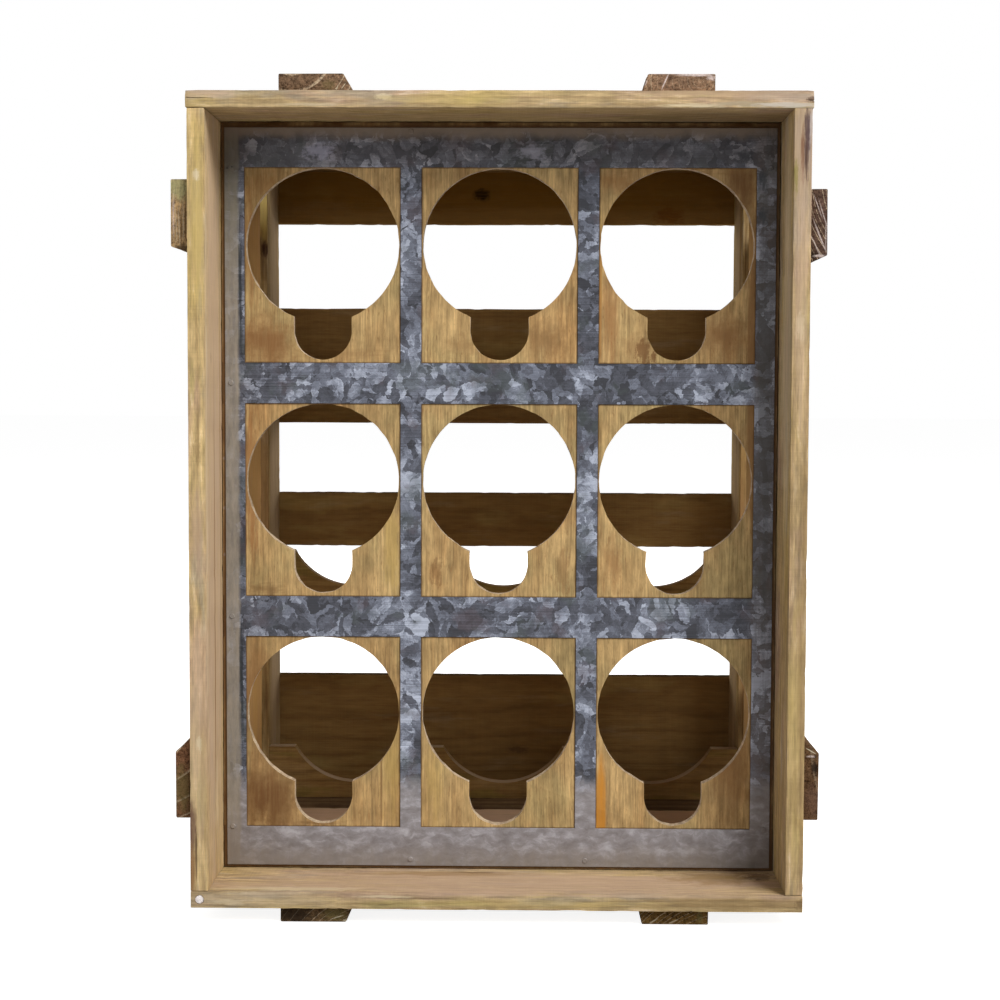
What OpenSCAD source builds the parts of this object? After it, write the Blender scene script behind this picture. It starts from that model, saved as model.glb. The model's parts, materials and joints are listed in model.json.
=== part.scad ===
// Wooden wine crate that stands on end and holds one bottle in each keyhole of its front panel.
// The open front faces -Y and the crate stands on its two lower battens at z = 0.
// The origin is the middle of the footprint, on the surface that the crate stands on.

/* [Bottle places] */
// Bottles side by side
columns = 3; // [2:1:5]
// Bottles one above another
rows = 3; // [3:1:5]
// Diameter of the hole that the body of a bottle goes through
hole_d = 85.5; // [74:0.5:110]
// Width of the notch that the neck lies in
notch_w = 32.5; // [26:0.5:42]
// How far the notch reaches below the hole
notch_reach = 20.8; // [16:0.2:34]

/* [Galvanised grid] */
// Thickness of the sheet
sheet_t = 0.8; // [0.5:0.1:1.5]
// Width of the upright bars between the windows
upright_w = 11.7; // [8:0.1:30]
// Height of the level bars between the windows
level_h = 22.7; // [14:0.1:40]
// Width of the sheet beside the outer windows
side_band = 11; // [9:0.5:24]
// Height of the sheet above and below the windows
end_band = 22; // [16:0.5:40]
// Plywood showing in a window at each side of its hole
hole_side = 0.75; // [0.4:0.05:6]
// Plywood showing in a window above its hole
hole_head = 0.2; // [0.1:0.05:6]
// Plywood showing in a window below its notch
notch_foot = 1.75; // [1:0.05:8]
// Gap between the sheet and each side board
sheet_side_gap = 2.2; // [0.5:0.1:5]
// Gap between the sheet and the floor boards
sheet_floor_gap = 1.8; // [0.5:0.1:5]
// Gap between the sheet and the top boards
sheet_top_gap = 3.2; // [0.5:0.1:5]

/* [Bottle panel] */
// Depth from the front rim to the sheet
front_recess = 52; // [30:1:90]
// Thickness of the plywood
panel_t = 6; // [4:0.5:12]
// Gap between the edge of the plywood and the boards around it
panel_gap = 0.4; // [0.2:0.1:1]
// Width and depth of the square cleats behind the panel
cleat = 11; // [9:0.5:14]

/* [Boards] */
// Thickness of the side boards
side_t = 9.6; // [7:0.1:16]
// Thickness of the top and floor boards
deck_t = 9.2; // [7:0.1:16]
// Depth of the front boards
front_d = 208; // [160:1:260]
// Gap between the front boards and the rear boards
board_gap = 32; // [10:1:60]
// Depth of the rear boards
rear_d = 58; // [48:1:100]
// How far each end of the top boards stands past the side boards
top_overhang = 0.7; // [0:0.1:3]

/* [Cradle rails] */
// How much wider the radius of a cradle is than that of a hole
cradle_ease = 2.25; // [1:0.25:4]
// Depth of a cradle's hollow
cradle_sag = 23.4; // [10:0.2:26]
// Height of a rail beside its hollows
rail_h = 34; // [30:1:60]
// Thickness of a rail
rail_t = 9.4; // [7:0.1:16]

/* [Back slats] */
// Thickness of the slats
slat_t = 9.6; // [7:0.1:16]
// Width of the lowest slat
slat_bottom_w = 82.8; // [60:0.2:90]
// Width of the slat above the lowest one
slat_low_w = 37; // [30:0.2:50]
// Width of the slat below the highest one
slat_high_w = 78.6; // [60:0.2:85]
// Width of the highest slat
slat_top_w = 44.3; // [35:0.2:55]

/* [Battens] */
// Thickness of the lower battens
batten_t = 8.5; // [7:0.1:16]
// How many times as thick the upper battens are
upper_batten_share = 1.12; // [1:0.02:1.4]
// Width of a batten where it lies on the boards
batten_w = 40; // [30:0.5:50]
// Distance from a corner of the crate to the nearest batten
batten_inset = 49; // [35:0.5:60]
// How far the ends of the battens stay behind the front rim and the slats
batten_setback = 4.5; // [0:0.5:12]

/* [Nails] */
// Diameter of a nail
nail_d = 2; // [1.6:0.1:2.6]
// Diameter of a nail's head
nail_head_d = 4.6; // [4:0.1:6]
// Thickness of a nail's head
nail_head_t = 0.8; // [0.5:0.1:1.2]
// How far a nail's head is driven below the wood
nail_sink = 0.3; // [0.1:0.1:1]
// How far a nail bites into the board behind the first one
nail_bite = 18; // [12:1:20]
// Wood left past the point of a nail that stays inside a board
nail_stop = 1.5; // [1:0.1:3]
// Diameter of the pins that hold the sheet
pin_d = 1.4; // [1:0.1:2]
// Diameter of a pin's head
pin_head_d = 2.8; // [2:0.1:4]
// Thickness of a pin's head
pin_head_t = 0.6; // [0.4:0.1:1]
// How far a pin bites into a cleat
pin_bite = 8; // [4:0.5:8.5]

/* [Hidden] */

// One overrun for every cut, and the play of a nail in its hole
overrun = 1;
nail_play = 0.05;
round_fn = 96;
nail_fn = 24;

// Colours of the finished wood and metal
pine = [0.74, 0.60, 0.40];
aged_pine = [0.52, 0.40, 0.25];
dark_pine = [0.33, 0.25, 0.18];
plywood = [0.80, 0.62, 0.38];
zinc = [0.55, 0.58, 0.62];
steel = [0.62, 0.58, 0.54];

// Windows, holes and notches, in the crate's own frame: x from the middle,
// y back from the front rim and z up from the underside of the floor boards
hole_r = hole_d / 2;
notch_r = notch_w / 2;
window_w = hole_d + 2 * hole_side;
window_h = hole_head + hole_d + notch_reach + notch_foot;
column_pitch = window_w + upright_w;
row_pitch = window_h + level_h;
sheet_w = columns * column_pitch - upright_w + 2 * side_band;
sheet_h = rows * row_pitch - level_h + 2 * end_band;

// The box of boards round the sheet
inner_w = sheet_w + 2 * sheet_side_gap;
inner_h = sheet_h + sheet_floor_gap + sheet_top_gap;
box_w = inner_w + 2 * side_t;
box_h = inner_h + 2 * deck_t;
rear_y = front_d + board_gap;
wall_d = rear_y + rear_d;
box_d = wall_d + slat_t;
sheet_z = deck_t + sheet_floor_gap;
panel_y = front_recess + sheet_t;
cleat_y = panel_y + panel_t;

function column_x(c) = (c - (columns - 1) / 2) * column_pitch;
function window_z(r) = sheet_z + end_band + r * row_pitch;
function hole_z(r) = window_z(r) + notch_foot + notch_reach + hole_r;

// Cradle rails: one above the floor boards and the others one row apart
cradle_r = hole_r + cradle_ease;
function rail_z(r) = deck_t + r * row_pitch;

// Back slats from the lowest up: the gaps share what the slats leave of the height
slat_widths = [slat_bottom_w, slat_low_w, slat_high_w, slat_top_w];
slat_gap_shares = [0, 0.46, 0.245, 0.295];
slat_room = box_h - slat_bottom_w - slat_low_w - slat_high_w - slat_top_w;
function slats_below(i) = i == 0 ? 0 : slat_widths[i - 1] + slats_below(i - 1);
function gaps_below(i) = i == 0 ? 0 : slat_gap_shares[i] + gaps_below(i - 1);
function slat_z(i) = slats_below(i) + slat_room * gaps_below(i);

// Battens: lies on a deck (1) or on a side (0), left or right, low or high, and its inset,
// width and slant as shares of the batten inset, width and thickness
batten_shares = [
  [1, -1,  1, 0.98, 1.00, 0.55],
  [1,  1,  1, 1.03, 0.97, 0.28],
  [0, -1,  1, 0.94, 0.97, 0.30],
  [0, -1, -1, 0.98, 1.10, 0.90],
  [0,  1,  1, 1.03, 0.98, 0.40],
  [0,  1, -1, 1.00, 1.10, 0.86],
  [1, -1, -1, 0.98, 0.99, 0.45],
  [1,  1, -1, 1.02, 0.94, 0.15]
];
batten_l = wall_d - 2 * batten_setback;
function batten_thick(b) = batten_t * (batten_shares[b][2] > 0 ? upper_batten_share : 1);

// Where nails stand along a front board, along a rear board, across a slat, up the end of a
// rail and to each side of a batten's middle
front_nail_shares = [0.12, 0.5, 0.88];
rear_nail_shares = [0.15, 0.42];
slat_nail_shares = [0.25, 0.75];
rail_nail_shares = [0.3, 0.75];
batten_nail_share = 0.2;
nail_point_share = 1.5;

// A box between two corners
module span(low, high) {
  translate(low) cube(high - low);
}

// Stands the crate's own frame on the ground
module on_ground() {
  translate([0, -box_d / 2, batten_t]) children();
}

// Extrudes an outline drawn in x and z from y back over a length
module run_back(y, length) {
  translate([0, y + length, 0]) rotate([90, 0, 0]) linear_extrude(length) children();
}

// Turns +Z to one of the six directions
module facing(way) {
  turn_x = way[1] != 0 ? -90 * way[1] : way[2] < 0 ? 180 : 0;
  rotate([turn_x, 90 * way[0], 0]) children();
}

// A nail is listed as its place on the wood, the way it is driven and its length
module nail(n) {
  r = nail_d / 2;
  head_r = nail_head_d / 2;
  under_head = nail_sink + nail_head_t;
  point = n[2] - nail_point_share * nail_d;
  translate(n[0]) facing(n[1]) rotate_extrude($fn = nail_fn)
    polygon([[0, nail_sink], [head_r, nail_sink], [head_r, under_head], [r, under_head], [r, point], [0, n[2]]]);
}

// The hole that a nail leaves, open above its head
module nail_hole(n) {
  r = nail_d / 2 + nail_play;
  head_r = nail_head_d / 2 + nail_play;
  under_head = nail_sink + nail_head_t;
  point = n[2] - nail_point_share * nail_d;
  tip = n[2] + nail_play;
  translate(n[0]) facing(n[1]) rotate_extrude($fn = nail_fn)
    polygon([[0, -overrun], [head_r, -overrun], [head_r, under_head], [r, under_head], [r, point], [0, tip]]);
}

// Where the nails of a board's depth stand: part 0 is a front board and part 1 a rear one
function part_y(part) = part == 0 ? 0 : rear_y;
function part_d(part) = part == 0 ? front_d : rear_d;
function part_shares(part) = part == 0 ? front_nail_shares : rear_nail_shares;
function part_nail_ys(part) = [for (s = part_shares(part)) part_y(part) + s * part_d(part)];

// Nails through a deck board into the end of a side board
function corner_list(side, end, part) = [
  for (y = part_nail_ys(part))
    [[side * (box_w - side_t) / 2, y, end > 0 ? box_h : 0], [0, 0, -end], deck_t + nail_bite]
];

// Nails through a batten, which stop inside the board below it
function batten_list(b, part) =
  let (
    row = batten_shares[b],
    inset = row[3] * batten_inset,
    w = row[4] * batten_w,
    t = batten_thick(b),
    zig = batten_nail_share * w,
    ys = part_nail_ys(part)
  ) [
    for (i = [0:len(ys) - 1])
      let (u = inset + w / 2 + (i % 2 == 0 ? zig : -zig))
      row[0] == 1
        ? [[row[1] * (box_w / 2 - u), ys[i], row[2] > 0 ? box_h + t : -t],
           [0, 0, -row[2]], t + deck_t - nail_stop]
        : [[row[1] * (box_w / 2 + t), ys[i], row[2] > 0 ? box_h - u : u],
           [-row[1], 0, 0], t + side_t - nail_stop]
  ];

// Nails through the end of a back slat into the rear edge of a side board
function slat_list(i, side) = [
  for (s = slat_nail_shares)
    [[side * (box_w - side_t) / 2, box_d, slat_z(i) + s * slat_widths[i]], [0, -1, 0], slat_t + nail_bite]
];

// Nails through a rear side board into the end of a cradle rail
function rail_list(r, side) = [
  for (s = rail_nail_shares)
    [[side * box_w / 2, rear_y + rail_t / 2, rail_z(r) + s * rail_h], [-side, 0, 0], side_t + nail_bite]
];

// Nails from inside through a cleat, one at each window, which stop inside the board
function side_cleat_list(side) = [
  for (r = [0:rows - 1])
    [[side * (inner_w / 2 - cleat), cleat_y + cleat / 2, window_z(r) + window_h / 2],
     [side, 0, 0], cleat + side_t - nail_stop]
];
function deck_cleat_list(end) = [
  for (c = [0:columns - 1])
    [[column_x(c), cleat_y + cleat / 2, end > 0 ? box_h - deck_t - cleat : deck_t + cleat],
     [0, 0, end], cleat + deck_t - nail_stop]
];

// The nail in the front edge of the floor board, near its left end
edge_nail = [[-(box_w - side_t) / 2, 0, deck_t / 2], [0, 1, 0], nail_bite];

// Pins through the sheet and the panel into the cleats
pin_heights = [window_z(0), for (r = [1:rows - 1]) window_z(r) - level_h / 2, window_z(rows - 1) + window_h];
pin_places = [
  for (side = [-1, 1], z = pin_heights) [side * (inner_w - cleat) / 2, front_recess, z],
  for (c = [1:columns - 1], z = [deck_t + cleat / 2, box_h - deck_t - cleat / 2])
    [column_x(c) - column_pitch / 2, front_recess, z]
];
pin_l = sheet_t + panel_t + pin_bite;

module pin(at) {
  r = pin_d / 2;
  point = pin_l - nail_point_share * pin_d;
  translate(at) facing([0, 1, 0]) rotate_extrude($fn = nail_fn)
    polygon([[0, -pin_head_t], [pin_head_d / 2, -pin_head_t / 2], [pin_head_d / 2, 0], [r, 0], [r, point], [0, pin_l]]);
}

module pin_hole(at) {
  r = pin_d / 2 + nail_play;
  point = pin_l - nail_point_share * pin_d;
  translate(at) facing([0, 1, 0]) rotate_extrude($fn = nail_fn)
    polygon([[0, -overrun], [r, -overrun], [r, point], [0, pin_l + nail_play]]);
}

// A top board (end 1) or a floor board (end -1)
module deck_board(end, part) {
  reach = box_w / 2 + (end > 0 ? top_overhang : 0);
  z = end > 0 ? box_h - deck_t : 0;
  on_ground() difference() {
    span([-reach, part_y(part), z], [reach, part_y(part) + part_d(part), z + deck_t]);
    for (side = [-1, 1], n = corner_list(side, end, part)) nail_hole(n);
    for (b = [0:len(batten_shares) - 1])
      if (batten_shares[b][0] == 1 && batten_shares[b][2] == end)
        for (n = batten_list(b, part)) nail_hole(n);
    if (part == 0) for (n = deck_cleat_list(end)) nail_hole(n);
    if (part == 0 && end < 0) nail_hole(edge_nail);
  }
}

// A side board between the deck boards
module side_board(side, part) {
  low_x = side > 0 ? box_w / 2 - side_t : -box_w / 2;
  on_ground() difference() {
    span([low_x, part_y(part), deck_t], [low_x + side_t, part_y(part) + part_d(part), box_h - deck_t]);
    for (end = [-1, 1], n = corner_list(side, end, part)) nail_hole(n);
    for (b = [0:len(batten_shares) - 1])
      if (batten_shares[b][0] == 0 && batten_shares[b][1] == side)
        for (n = batten_list(b, part)) nail_hole(n);
    if (part == 0) for (n = side_cleat_list(side)) nail_hole(n);
    if (part == 1) for (i = [0:len(slat_widths) - 1], n = slat_list(i, side)) nail_hole(n);
    if (part == 1) for (r = [0:rows - 1], n = rail_list(r, side)) nail_hole(n);
  }
}

// A batten, square at the edge that is near the corner of the crate and slanted at the other
module batten(b) {
  row = batten_shares[b];
  inset = row[3] * batten_inset;
  w = row[4] * batten_w;
  t = batten_thick(b);
  outline = [[0, 0], [w, 0], [w - row[5] * t, t], [0, t]];
  x = row[0] == 1 ? row[1] * (box_w / 2 - inset) : row[1] * box_w / 2;
  z = row[0] == 1 ? (row[2] > 0 ? box_h : 0) : (row[2] > 0 ? box_h - inset : inset);
  color(dark_pine) on_ground() difference() {
    run_back(batten_setback, batten_l) translate([x, z])
      polygon([for (p = outline) row[0] == 1 ? [-row[1] * p[0], row[2] * p[1]] : [row[1] * p[1], -row[2] * p[0]]]);
    for (part = [0, 1], n = batten_list(b, part)) nail_hole(n);
  }
}

module top_left_batten() batten(0);
module top_right_batten() batten(1);
module left_upper_batten() batten(2);
module left_lower_batten() batten(3);
module right_upper_batten() batten(4);
module right_lower_batten() batten(5);
module bottom_left_batten() batten(6);
module bottom_right_batten() batten(7);

module top_front_board() color(pine) deck_board(1, 0);
module top_rear_board() color(aged_pine) deck_board(1, 1);
module floor_front_board() color(pine) deck_board(-1, 0);
module floor_rear_board() color(aged_pine) deck_board(-1, 1);
module left_front_board() color(pine) side_board(-1, 0);
module left_rear_board() color(aged_pine) side_board(-1, 1);
module right_front_board() color(pine) side_board(1, 0);
module right_rear_board() color(aged_pine) side_board(1, 1);

// The plywood panel with a keyhole for each bottle
module bottle_panel() {
  half_w = inner_w / 2 - panel_gap;
  color(plywood) on_ground() difference() {
    span([-half_w, panel_y, deck_t + panel_gap], [half_w, cleat_y, box_h - deck_t - panel_gap]);
    for (c = [0:columns - 1], r = [0:rows - 1]) translate([column_x(c), 0, hole_z(r)]) keyhole();
    for (at = pin_places) pin_hole(at);
  }
}

// A hole with a notch below it, centred on the hole
module keyhole() {
  cut_y = panel_y - overrun;
  cut_l = panel_t + 2 * overrun;
  notch_drop = hole_r + notch_reach - notch_r;
  translate([0, cut_y, 0]) facing([0, 1, 0]) cylinder(h = cut_l, r = hole_r, $fn = round_fn);
  translate([0, cut_y, -notch_drop]) facing([0, 1, 0]) cylinder(h = cut_l, r = notch_r, $fn = round_fn);
  span([-notch_r, cut_y, -notch_drop], [notch_r, cut_y + cut_l, 0]);
}

// The galvanised sheet with a window round each keyhole
module galvanised_grid() {
  color(zinc) on_ground() difference() {
    span([-sheet_w / 2, front_recess, sheet_z], [sheet_w / 2, panel_y, sheet_z + sheet_h]);
    for (c = [0:columns - 1], r = [0:rows - 1])
      translate([column_x(c), 0, window_z(r)])
        span([-window_w / 2, front_recess - overrun, 0], [window_w / 2, panel_y + overrun, window_h]);
    for (at = pin_places) pin_hole(at);
  }
}

// Cleats behind the panel: the deck cleats run right across and the side cleats between them
module side_cleat(side) {
  low_x = side > 0 ? inner_w / 2 - cleat : -inner_w / 2;
  color(pine) on_ground() difference() {
    span([low_x, cleat_y, deck_t + cleat], [low_x + cleat, cleat_y + cleat, box_h - deck_t - cleat]);
    for (n = side_cleat_list(side)) nail_hole(n);
    for (at = pin_places) pin_hole(at);
  }
}

module deck_cleat(end) {
  z = end > 0 ? box_h - deck_t - cleat : deck_t;
  color(pine) on_ground() difference() {
    span([-inner_w / 2, cleat_y, z], [inner_w / 2, cleat_y + cleat, z + cleat]);
    for (n = deck_cleat_list(end)) nail_hole(n);
    for (at = pin_places) pin_hole(at);
  }
}

module left_cleat() side_cleat(-1);
module right_cleat() side_cleat(1);
module top_cleat() deck_cleat(1);
module floor_cleat() deck_cleat(-1);

// A rail across the rear boards with a round hollow under each bottle
module cradle_rail(r) {
  z = rail_z(r);
  axis_z = z + rail_h - cradle_sag + cradle_r;
  color(aged_pine) on_ground() difference() {
    span([-inner_w / 2, rear_y, z], [inner_w / 2, rear_y + rail_t, z + rail_h]);
    for (c = [0:columns - 1])
      translate([column_x(c), rear_y - overrun, axis_z])
        facing([0, 1, 0]) cylinder(h = rail_t + 2 * overrun, r = cradle_r, $fn = round_fn);
    for (side = [-1, 1], n = rail_list(r, side)) nail_hole(n);
  }
}

// With more than three rows, the middle cradle has a rail for each row between the outer two
module lower_cradle() cradle_rail(0);
module middle_cradle() for (r = [1:1:rows - 2]) cradle_rail(r);
module upper_cradle() cradle_rail(rows - 1);

// A slat across the back, nailed to the rear edges of the side boards
module back_slat(i) {
  z = slat_z(i);
  color(aged_pine) on_ground() difference() {
    span([-box_w / 2, wall_d, z], [box_w / 2, box_d, z + slat_widths[i]]);
    for (side = [-1, 1], n = slat_list(i, side)) nail_hole(n);
  }
}

module back_slat_bottom() back_slat(0);
module back_slat_low() back_slat(1);
module back_slat_high() back_slat(2);
module back_slat_top() back_slat(3);

module corner_nails() {
  color(steel) on_ground()
    for (side = [-1, 1], end = [-1, 1], part = [0, 1], n = corner_list(side, end, part)) nail(n);
}

module batten_nails() {
  color(steel) on_ground()
    for (b = [0:len(batten_shares) - 1], part = [0, 1], n = batten_list(b, part)) nail(n);
}

module slat_nails() {
  color(steel) on_ground()
    for (i = [0:len(slat_widths) - 1], side = [-1, 1], n = slat_list(i, side)) nail(n);
}

module cradle_nails() {
  color(steel) on_ground()
    for (r = [0:rows - 1], side = [-1, 1], n = rail_list(r, side)) nail(n);
}

module cleat_nails() {
  color(steel) on_ground() {
    for (side = [-1, 1], n = side_cleat_list(side)) nail(n);
    for (end = [-1, 1], n = deck_cleat_list(end)) nail(n);
  }
}

module grid_pins() color(zinc) on_ground() for (at = pin_places) pin(at);
module front_edge_nail() color(steel) on_ground() nail(edge_nail);

top_front_board();
top_rear_board();
floor_front_board();
floor_rear_board();
left_front_board();
left_rear_board();
right_front_board();
right_rear_board();
top_left_batten();
top_right_batten();
left_upper_batten();
left_lower_batten();
right_upper_batten();
right_lower_batten();
bottom_left_batten();
bottom_right_batten();
bottle_panel();
galvanised_grid();
left_cleat();
right_cleat();
top_cleat();
floor_cleat();
lower_cradle();
middle_cradle();
upper_cradle();
back_slat_top();
back_slat_high();
back_slat_low();
back_slat_bottom();
corner_nails();
batten_nails();
slat_nails();
cradle_nails();
cleat_nails();
grid_pins();
front_edge_nail();
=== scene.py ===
"""Wooden wine crate: its worn boards, battens, keyhole panel and galvanised grid, and the studio.

Laid out as an add-on with one operator for each piece or group of like pieces, and run as a script.
Lengths are in metres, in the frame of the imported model: x to the right, y to the back and z up.
"""

import json
import math
import random
from collections import namedtuple

import bpy
from bpy.props import FloatProperty, FloatVectorProperty, IntProperty, PointerProperty
from mathutils import Matrix, Vector

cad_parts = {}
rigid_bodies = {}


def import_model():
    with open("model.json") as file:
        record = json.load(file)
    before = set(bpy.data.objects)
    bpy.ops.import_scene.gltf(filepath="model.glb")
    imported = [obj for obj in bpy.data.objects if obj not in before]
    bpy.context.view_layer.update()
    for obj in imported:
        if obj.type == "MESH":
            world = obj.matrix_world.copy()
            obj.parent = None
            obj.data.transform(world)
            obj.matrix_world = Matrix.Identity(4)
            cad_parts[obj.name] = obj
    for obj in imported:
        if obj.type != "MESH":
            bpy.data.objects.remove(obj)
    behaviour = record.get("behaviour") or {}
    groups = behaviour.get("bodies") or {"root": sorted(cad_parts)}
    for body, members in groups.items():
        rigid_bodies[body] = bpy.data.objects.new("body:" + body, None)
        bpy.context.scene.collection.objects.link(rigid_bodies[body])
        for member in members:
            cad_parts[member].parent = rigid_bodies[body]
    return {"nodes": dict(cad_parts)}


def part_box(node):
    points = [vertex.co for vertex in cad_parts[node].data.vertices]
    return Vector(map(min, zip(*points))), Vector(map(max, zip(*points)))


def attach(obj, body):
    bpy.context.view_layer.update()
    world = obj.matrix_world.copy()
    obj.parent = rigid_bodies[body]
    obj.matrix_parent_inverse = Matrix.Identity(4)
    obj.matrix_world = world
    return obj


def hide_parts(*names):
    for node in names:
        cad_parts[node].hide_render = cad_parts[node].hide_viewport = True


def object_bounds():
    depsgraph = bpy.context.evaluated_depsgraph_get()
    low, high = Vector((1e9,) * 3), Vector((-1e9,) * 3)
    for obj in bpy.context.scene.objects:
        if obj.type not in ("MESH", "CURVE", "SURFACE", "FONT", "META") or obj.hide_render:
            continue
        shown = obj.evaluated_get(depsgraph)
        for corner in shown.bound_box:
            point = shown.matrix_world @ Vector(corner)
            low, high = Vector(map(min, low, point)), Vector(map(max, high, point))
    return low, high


bl_info = {
    "name": "Wine crate",
    "version": (1, 0, 0),
    "blender": (4, 5, 0),
    "location": "3D Viewport > Sidebar > Crate",
    "description": "Builds the worn boards, panel, grid and nails of a wooden wine crate",
    "category": "Object",
}

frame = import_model()
CAD_LOW, CAD_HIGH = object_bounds()
CENTRE = (CAD_LOW + CAD_HIGH) / 2
AXES = {"X": 0, "Y": 1, "Z": 2}

# Two places closer than this are the same
TOUCH = 1e-5
# How far a cutter starts outside the wood, so that it leaves no skin
OVERCUT = 0.001


# Sizes and colours that a user would change

def length(name, description, default):
    return FloatProperty(name=name, description=description, default=default, min=0.0, max=1.0,
                         precision=5, subtype="DISTANCE", unit="LENGTH")


def colour(name, description, default):
    return FloatVectorProperty(name=name, description=description, default=default, size=3,
                               min=0.0, max=1.0, subtype="COLOR")


def power(name, description, default):
    return FloatProperty(name=name, description=description, default=default, min=0.0, unit="POWER")


class CrateSizes(bpy.types.PropertyGroup):
    """Sizes of the keyholes, the windows and the wear."""

    columns: IntProperty(name="Columns", description="Holes side by side", default=3, min=1, max=5)
    rows: IntProperty(name="Rows", description="Holes one above another", default=3, min=1, max=5)
    column_pitch: length("Column pitch", "From one column of keyholes to the next", 0.0987)
    row_pitch: length("Row pitch", "From one row of keyholes to the next", 0.13095)
    low_hole_z: length("Lowest holes", "Height of the centres of the lowest holes", 0.1068)
    hole_d: length("Hole", "Diameter of a hole of the panel", 0.0855)
    notch_w: length("Notch", "Width of the notch below a hole", 0.0325)
    notch_reach: length("Notch reach", "How far a notch reaches below its hole", 0.0208)
    window_side: length("Window side", "Panel that shows beside a hole", 0.00075)
    window_head: length("Window head", "Panel that shows above a hole", 0.0002)
    window_foot: length("Window foot", "Panel that shows below a notch", 0.00175)
    cradle_ease: length("Cradle ease", "How much wider a cradle's radius is than a hole's", 0.00225)
    cradle_sag: length("Cradle sag", "Depth of a cradle's hollow", 0.0234)
    edge_round: length("Edge rounding", "Width of the worn edge of a board", 0.00055)
    batten_round: length("Batten rounding", "Width of the worn edge of a batten", 0.001)
    ring_step: length("Ring step", "Distance between the cuts that let a board's edges wander", 0.0035)
    wander: length("Wander", "How far the faces of a board wander inwards", 0.0002)
    nick: length("Nicks", "Depth of the dents along the edges of a board", 0.0003)
    pocket_play: length("Nail pocket", "Gap round a nail's head", 0.00015)


class CrateColours(bpy.types.PropertyGroup):
    """Colours of the wood and the metal."""

    pine_pale: colour("Pine", "Pale wood of the front boards", (0.52, 0.385, 0.195))
    pine_ring: colour("Pine rings", "Late wood of the front boards", (0.335, 0.22, 0.105))
    pine_yellow: colour("Pine yellow", "Yellow patches of the front boards", (0.55, 0.41, 0.155))
    pine_pink: colour("Pine pink", "Pinkish patches of the front boards", (0.46, 0.315, 0.215))
    pine_grey: colour("Pine grey", "Greyed patches of the front boards", (0.4, 0.335, 0.235))
    aged_pale: colour("Aged pine", "Pale wood of the rear boards and slats", (0.29, 0.175, 0.065))
    aged_ring: colour("Aged rings", "Late wood of the rear boards and slats", (0.165, 0.088, 0.03))
    batten_dark: colour("Batten", "Weathered wood of the battens", (0.15, 0.088, 0.052))
    batten_pore: colour("Batten pores", "Dark pores of the battens", (0.05, 0.026, 0.016))
    batten_ring: colour("Batten rings", "Pale rings of the battens", (0.56, 0.43, 0.29))
    ply_pale: colour("Plywood", "Pale veneer", (0.5, 0.335, 0.15))
    ply_dark: colour("Plywood grain", "Dark grain of the veneer", (0.285, 0.155, 0.058))
    ply_olive: colour("Plywood olive", "Olive patches of the veneer", (0.4, 0.3, 0.135))
    ply_edge: colour("Plywood edge", "Cut edge of the plywood", (0.8, 0.65, 0.45))
    zinc_dark: colour("Zinc dark", "Darkest crystals of the grid", (0.034, 0.035, 0.043))
    zinc_mid: colour("Zinc", "Most crystals of the grid", (0.08, 0.085, 0.108))
    zinc_blue: colour("Zinc blue", "Lighter crystals of the grid", (0.152, 0.166, 0.21))
    zinc_pale: colour("Zinc pale", "Palest crystals of the grid", (0.36, 0.39, 0.47))
    # Along the sheet's left edge this film colour is partly painted reflection of the lit left wall
    haze_and_reflection: colour("Haze", "Dull film on the grid", (0.3, 0.262, 0.212))
    # Dark stains, and also painted shade on the top board's underside and the rear floor board's front edge
    stain_and_shade: colour("Stain", "Dark stains on the boards", (0.07, 0.036, 0.026))
    scuff: colour("Scuff", "Whitish scuffs on the boards", (0.66, 0.58, 0.42))
    moss: colour("Green", "Greenish tint on the boards", (0.36, 0.33, 0.115))
    rust: colour("Rust", "Rust on the nails", (0.17, 0.062, 0.022))
    steel: colour("Steel", "Bare steel of the nails", (0.46, 0.43, 0.4))


class StudioSettings(bpy.types.PropertyGroup):
    """Light and background."""

    key_power: power("Key", "Power of the large lamp", 97.0)
    fill_power: power("Fill", "Power of the side lamp", 10.0)
    back_power: power("Back", "Power of the lamp behind", 60.0)
    sky: FloatProperty(name="Sky", description="Brightness of the room round the crate",
                       default=0.18, min=0.0)
    floor_lift: FloatProperty(name="Floor lift", description="What the camera sees added to the floor",
                              default=0.88, min=0.0)


def chosen(scene):
    """The sizes and the colours that the boards, the panel and the grid are made with."""
    return scene.crate_sizes, scene.crate_colours


# Mesh work

def clear_selection():
    if bpy.context.mode != "OBJECT":
        bpy.ops.object.mode_set(mode="OBJECT")
    bpy.ops.object.select_all(action="DESELECT")


def activate(piece):
    clear_selection()
    piece.select_set(True)
    bpy.context.view_layer.objects.active = piece


def named(piece, name):
    piece.name = name
    piece.data.name = name
    return piece


def settle(piece):
    """Puts a piece's place, turn and scale into its mesh."""
    activate(piece)
    bpy.ops.object.transform_apply(location=True, rotation=True, scale=True)
    return piece


def block(name, low, high):
    """A cube between two corners, the start of every sawn piece."""
    clear_selection()
    bpy.ops.mesh.primitive_cube_add(size=1, location=(Vector(low) + Vector(high)) / 2)
    piece = named(bpy.context.active_object, name)
    piece.scale = Vector(high) - Vector(low)
    return settle(piece)


def rod(name, start, axis, radius, depth, sides):
    """A cylinder that starts at a point and runs along an axis, forwards if depth is above zero."""
    clear_selection()
    along = Vector([float(i == AXES[axis]) for i in range(3)])
    turn = {"X": (0, math.pi / 2, 0), "Y": (math.pi / 2, 0, 0), "Z": (0, 0, 0)}[axis]
    bpy.ops.mesh.primitive_cylinder_add(vertices=sides, radius=radius, depth=abs(depth),
                                        location=Vector(start) + along * depth / 2, rotation=turn)
    return settle(named(bpy.context.active_object, name))


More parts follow.
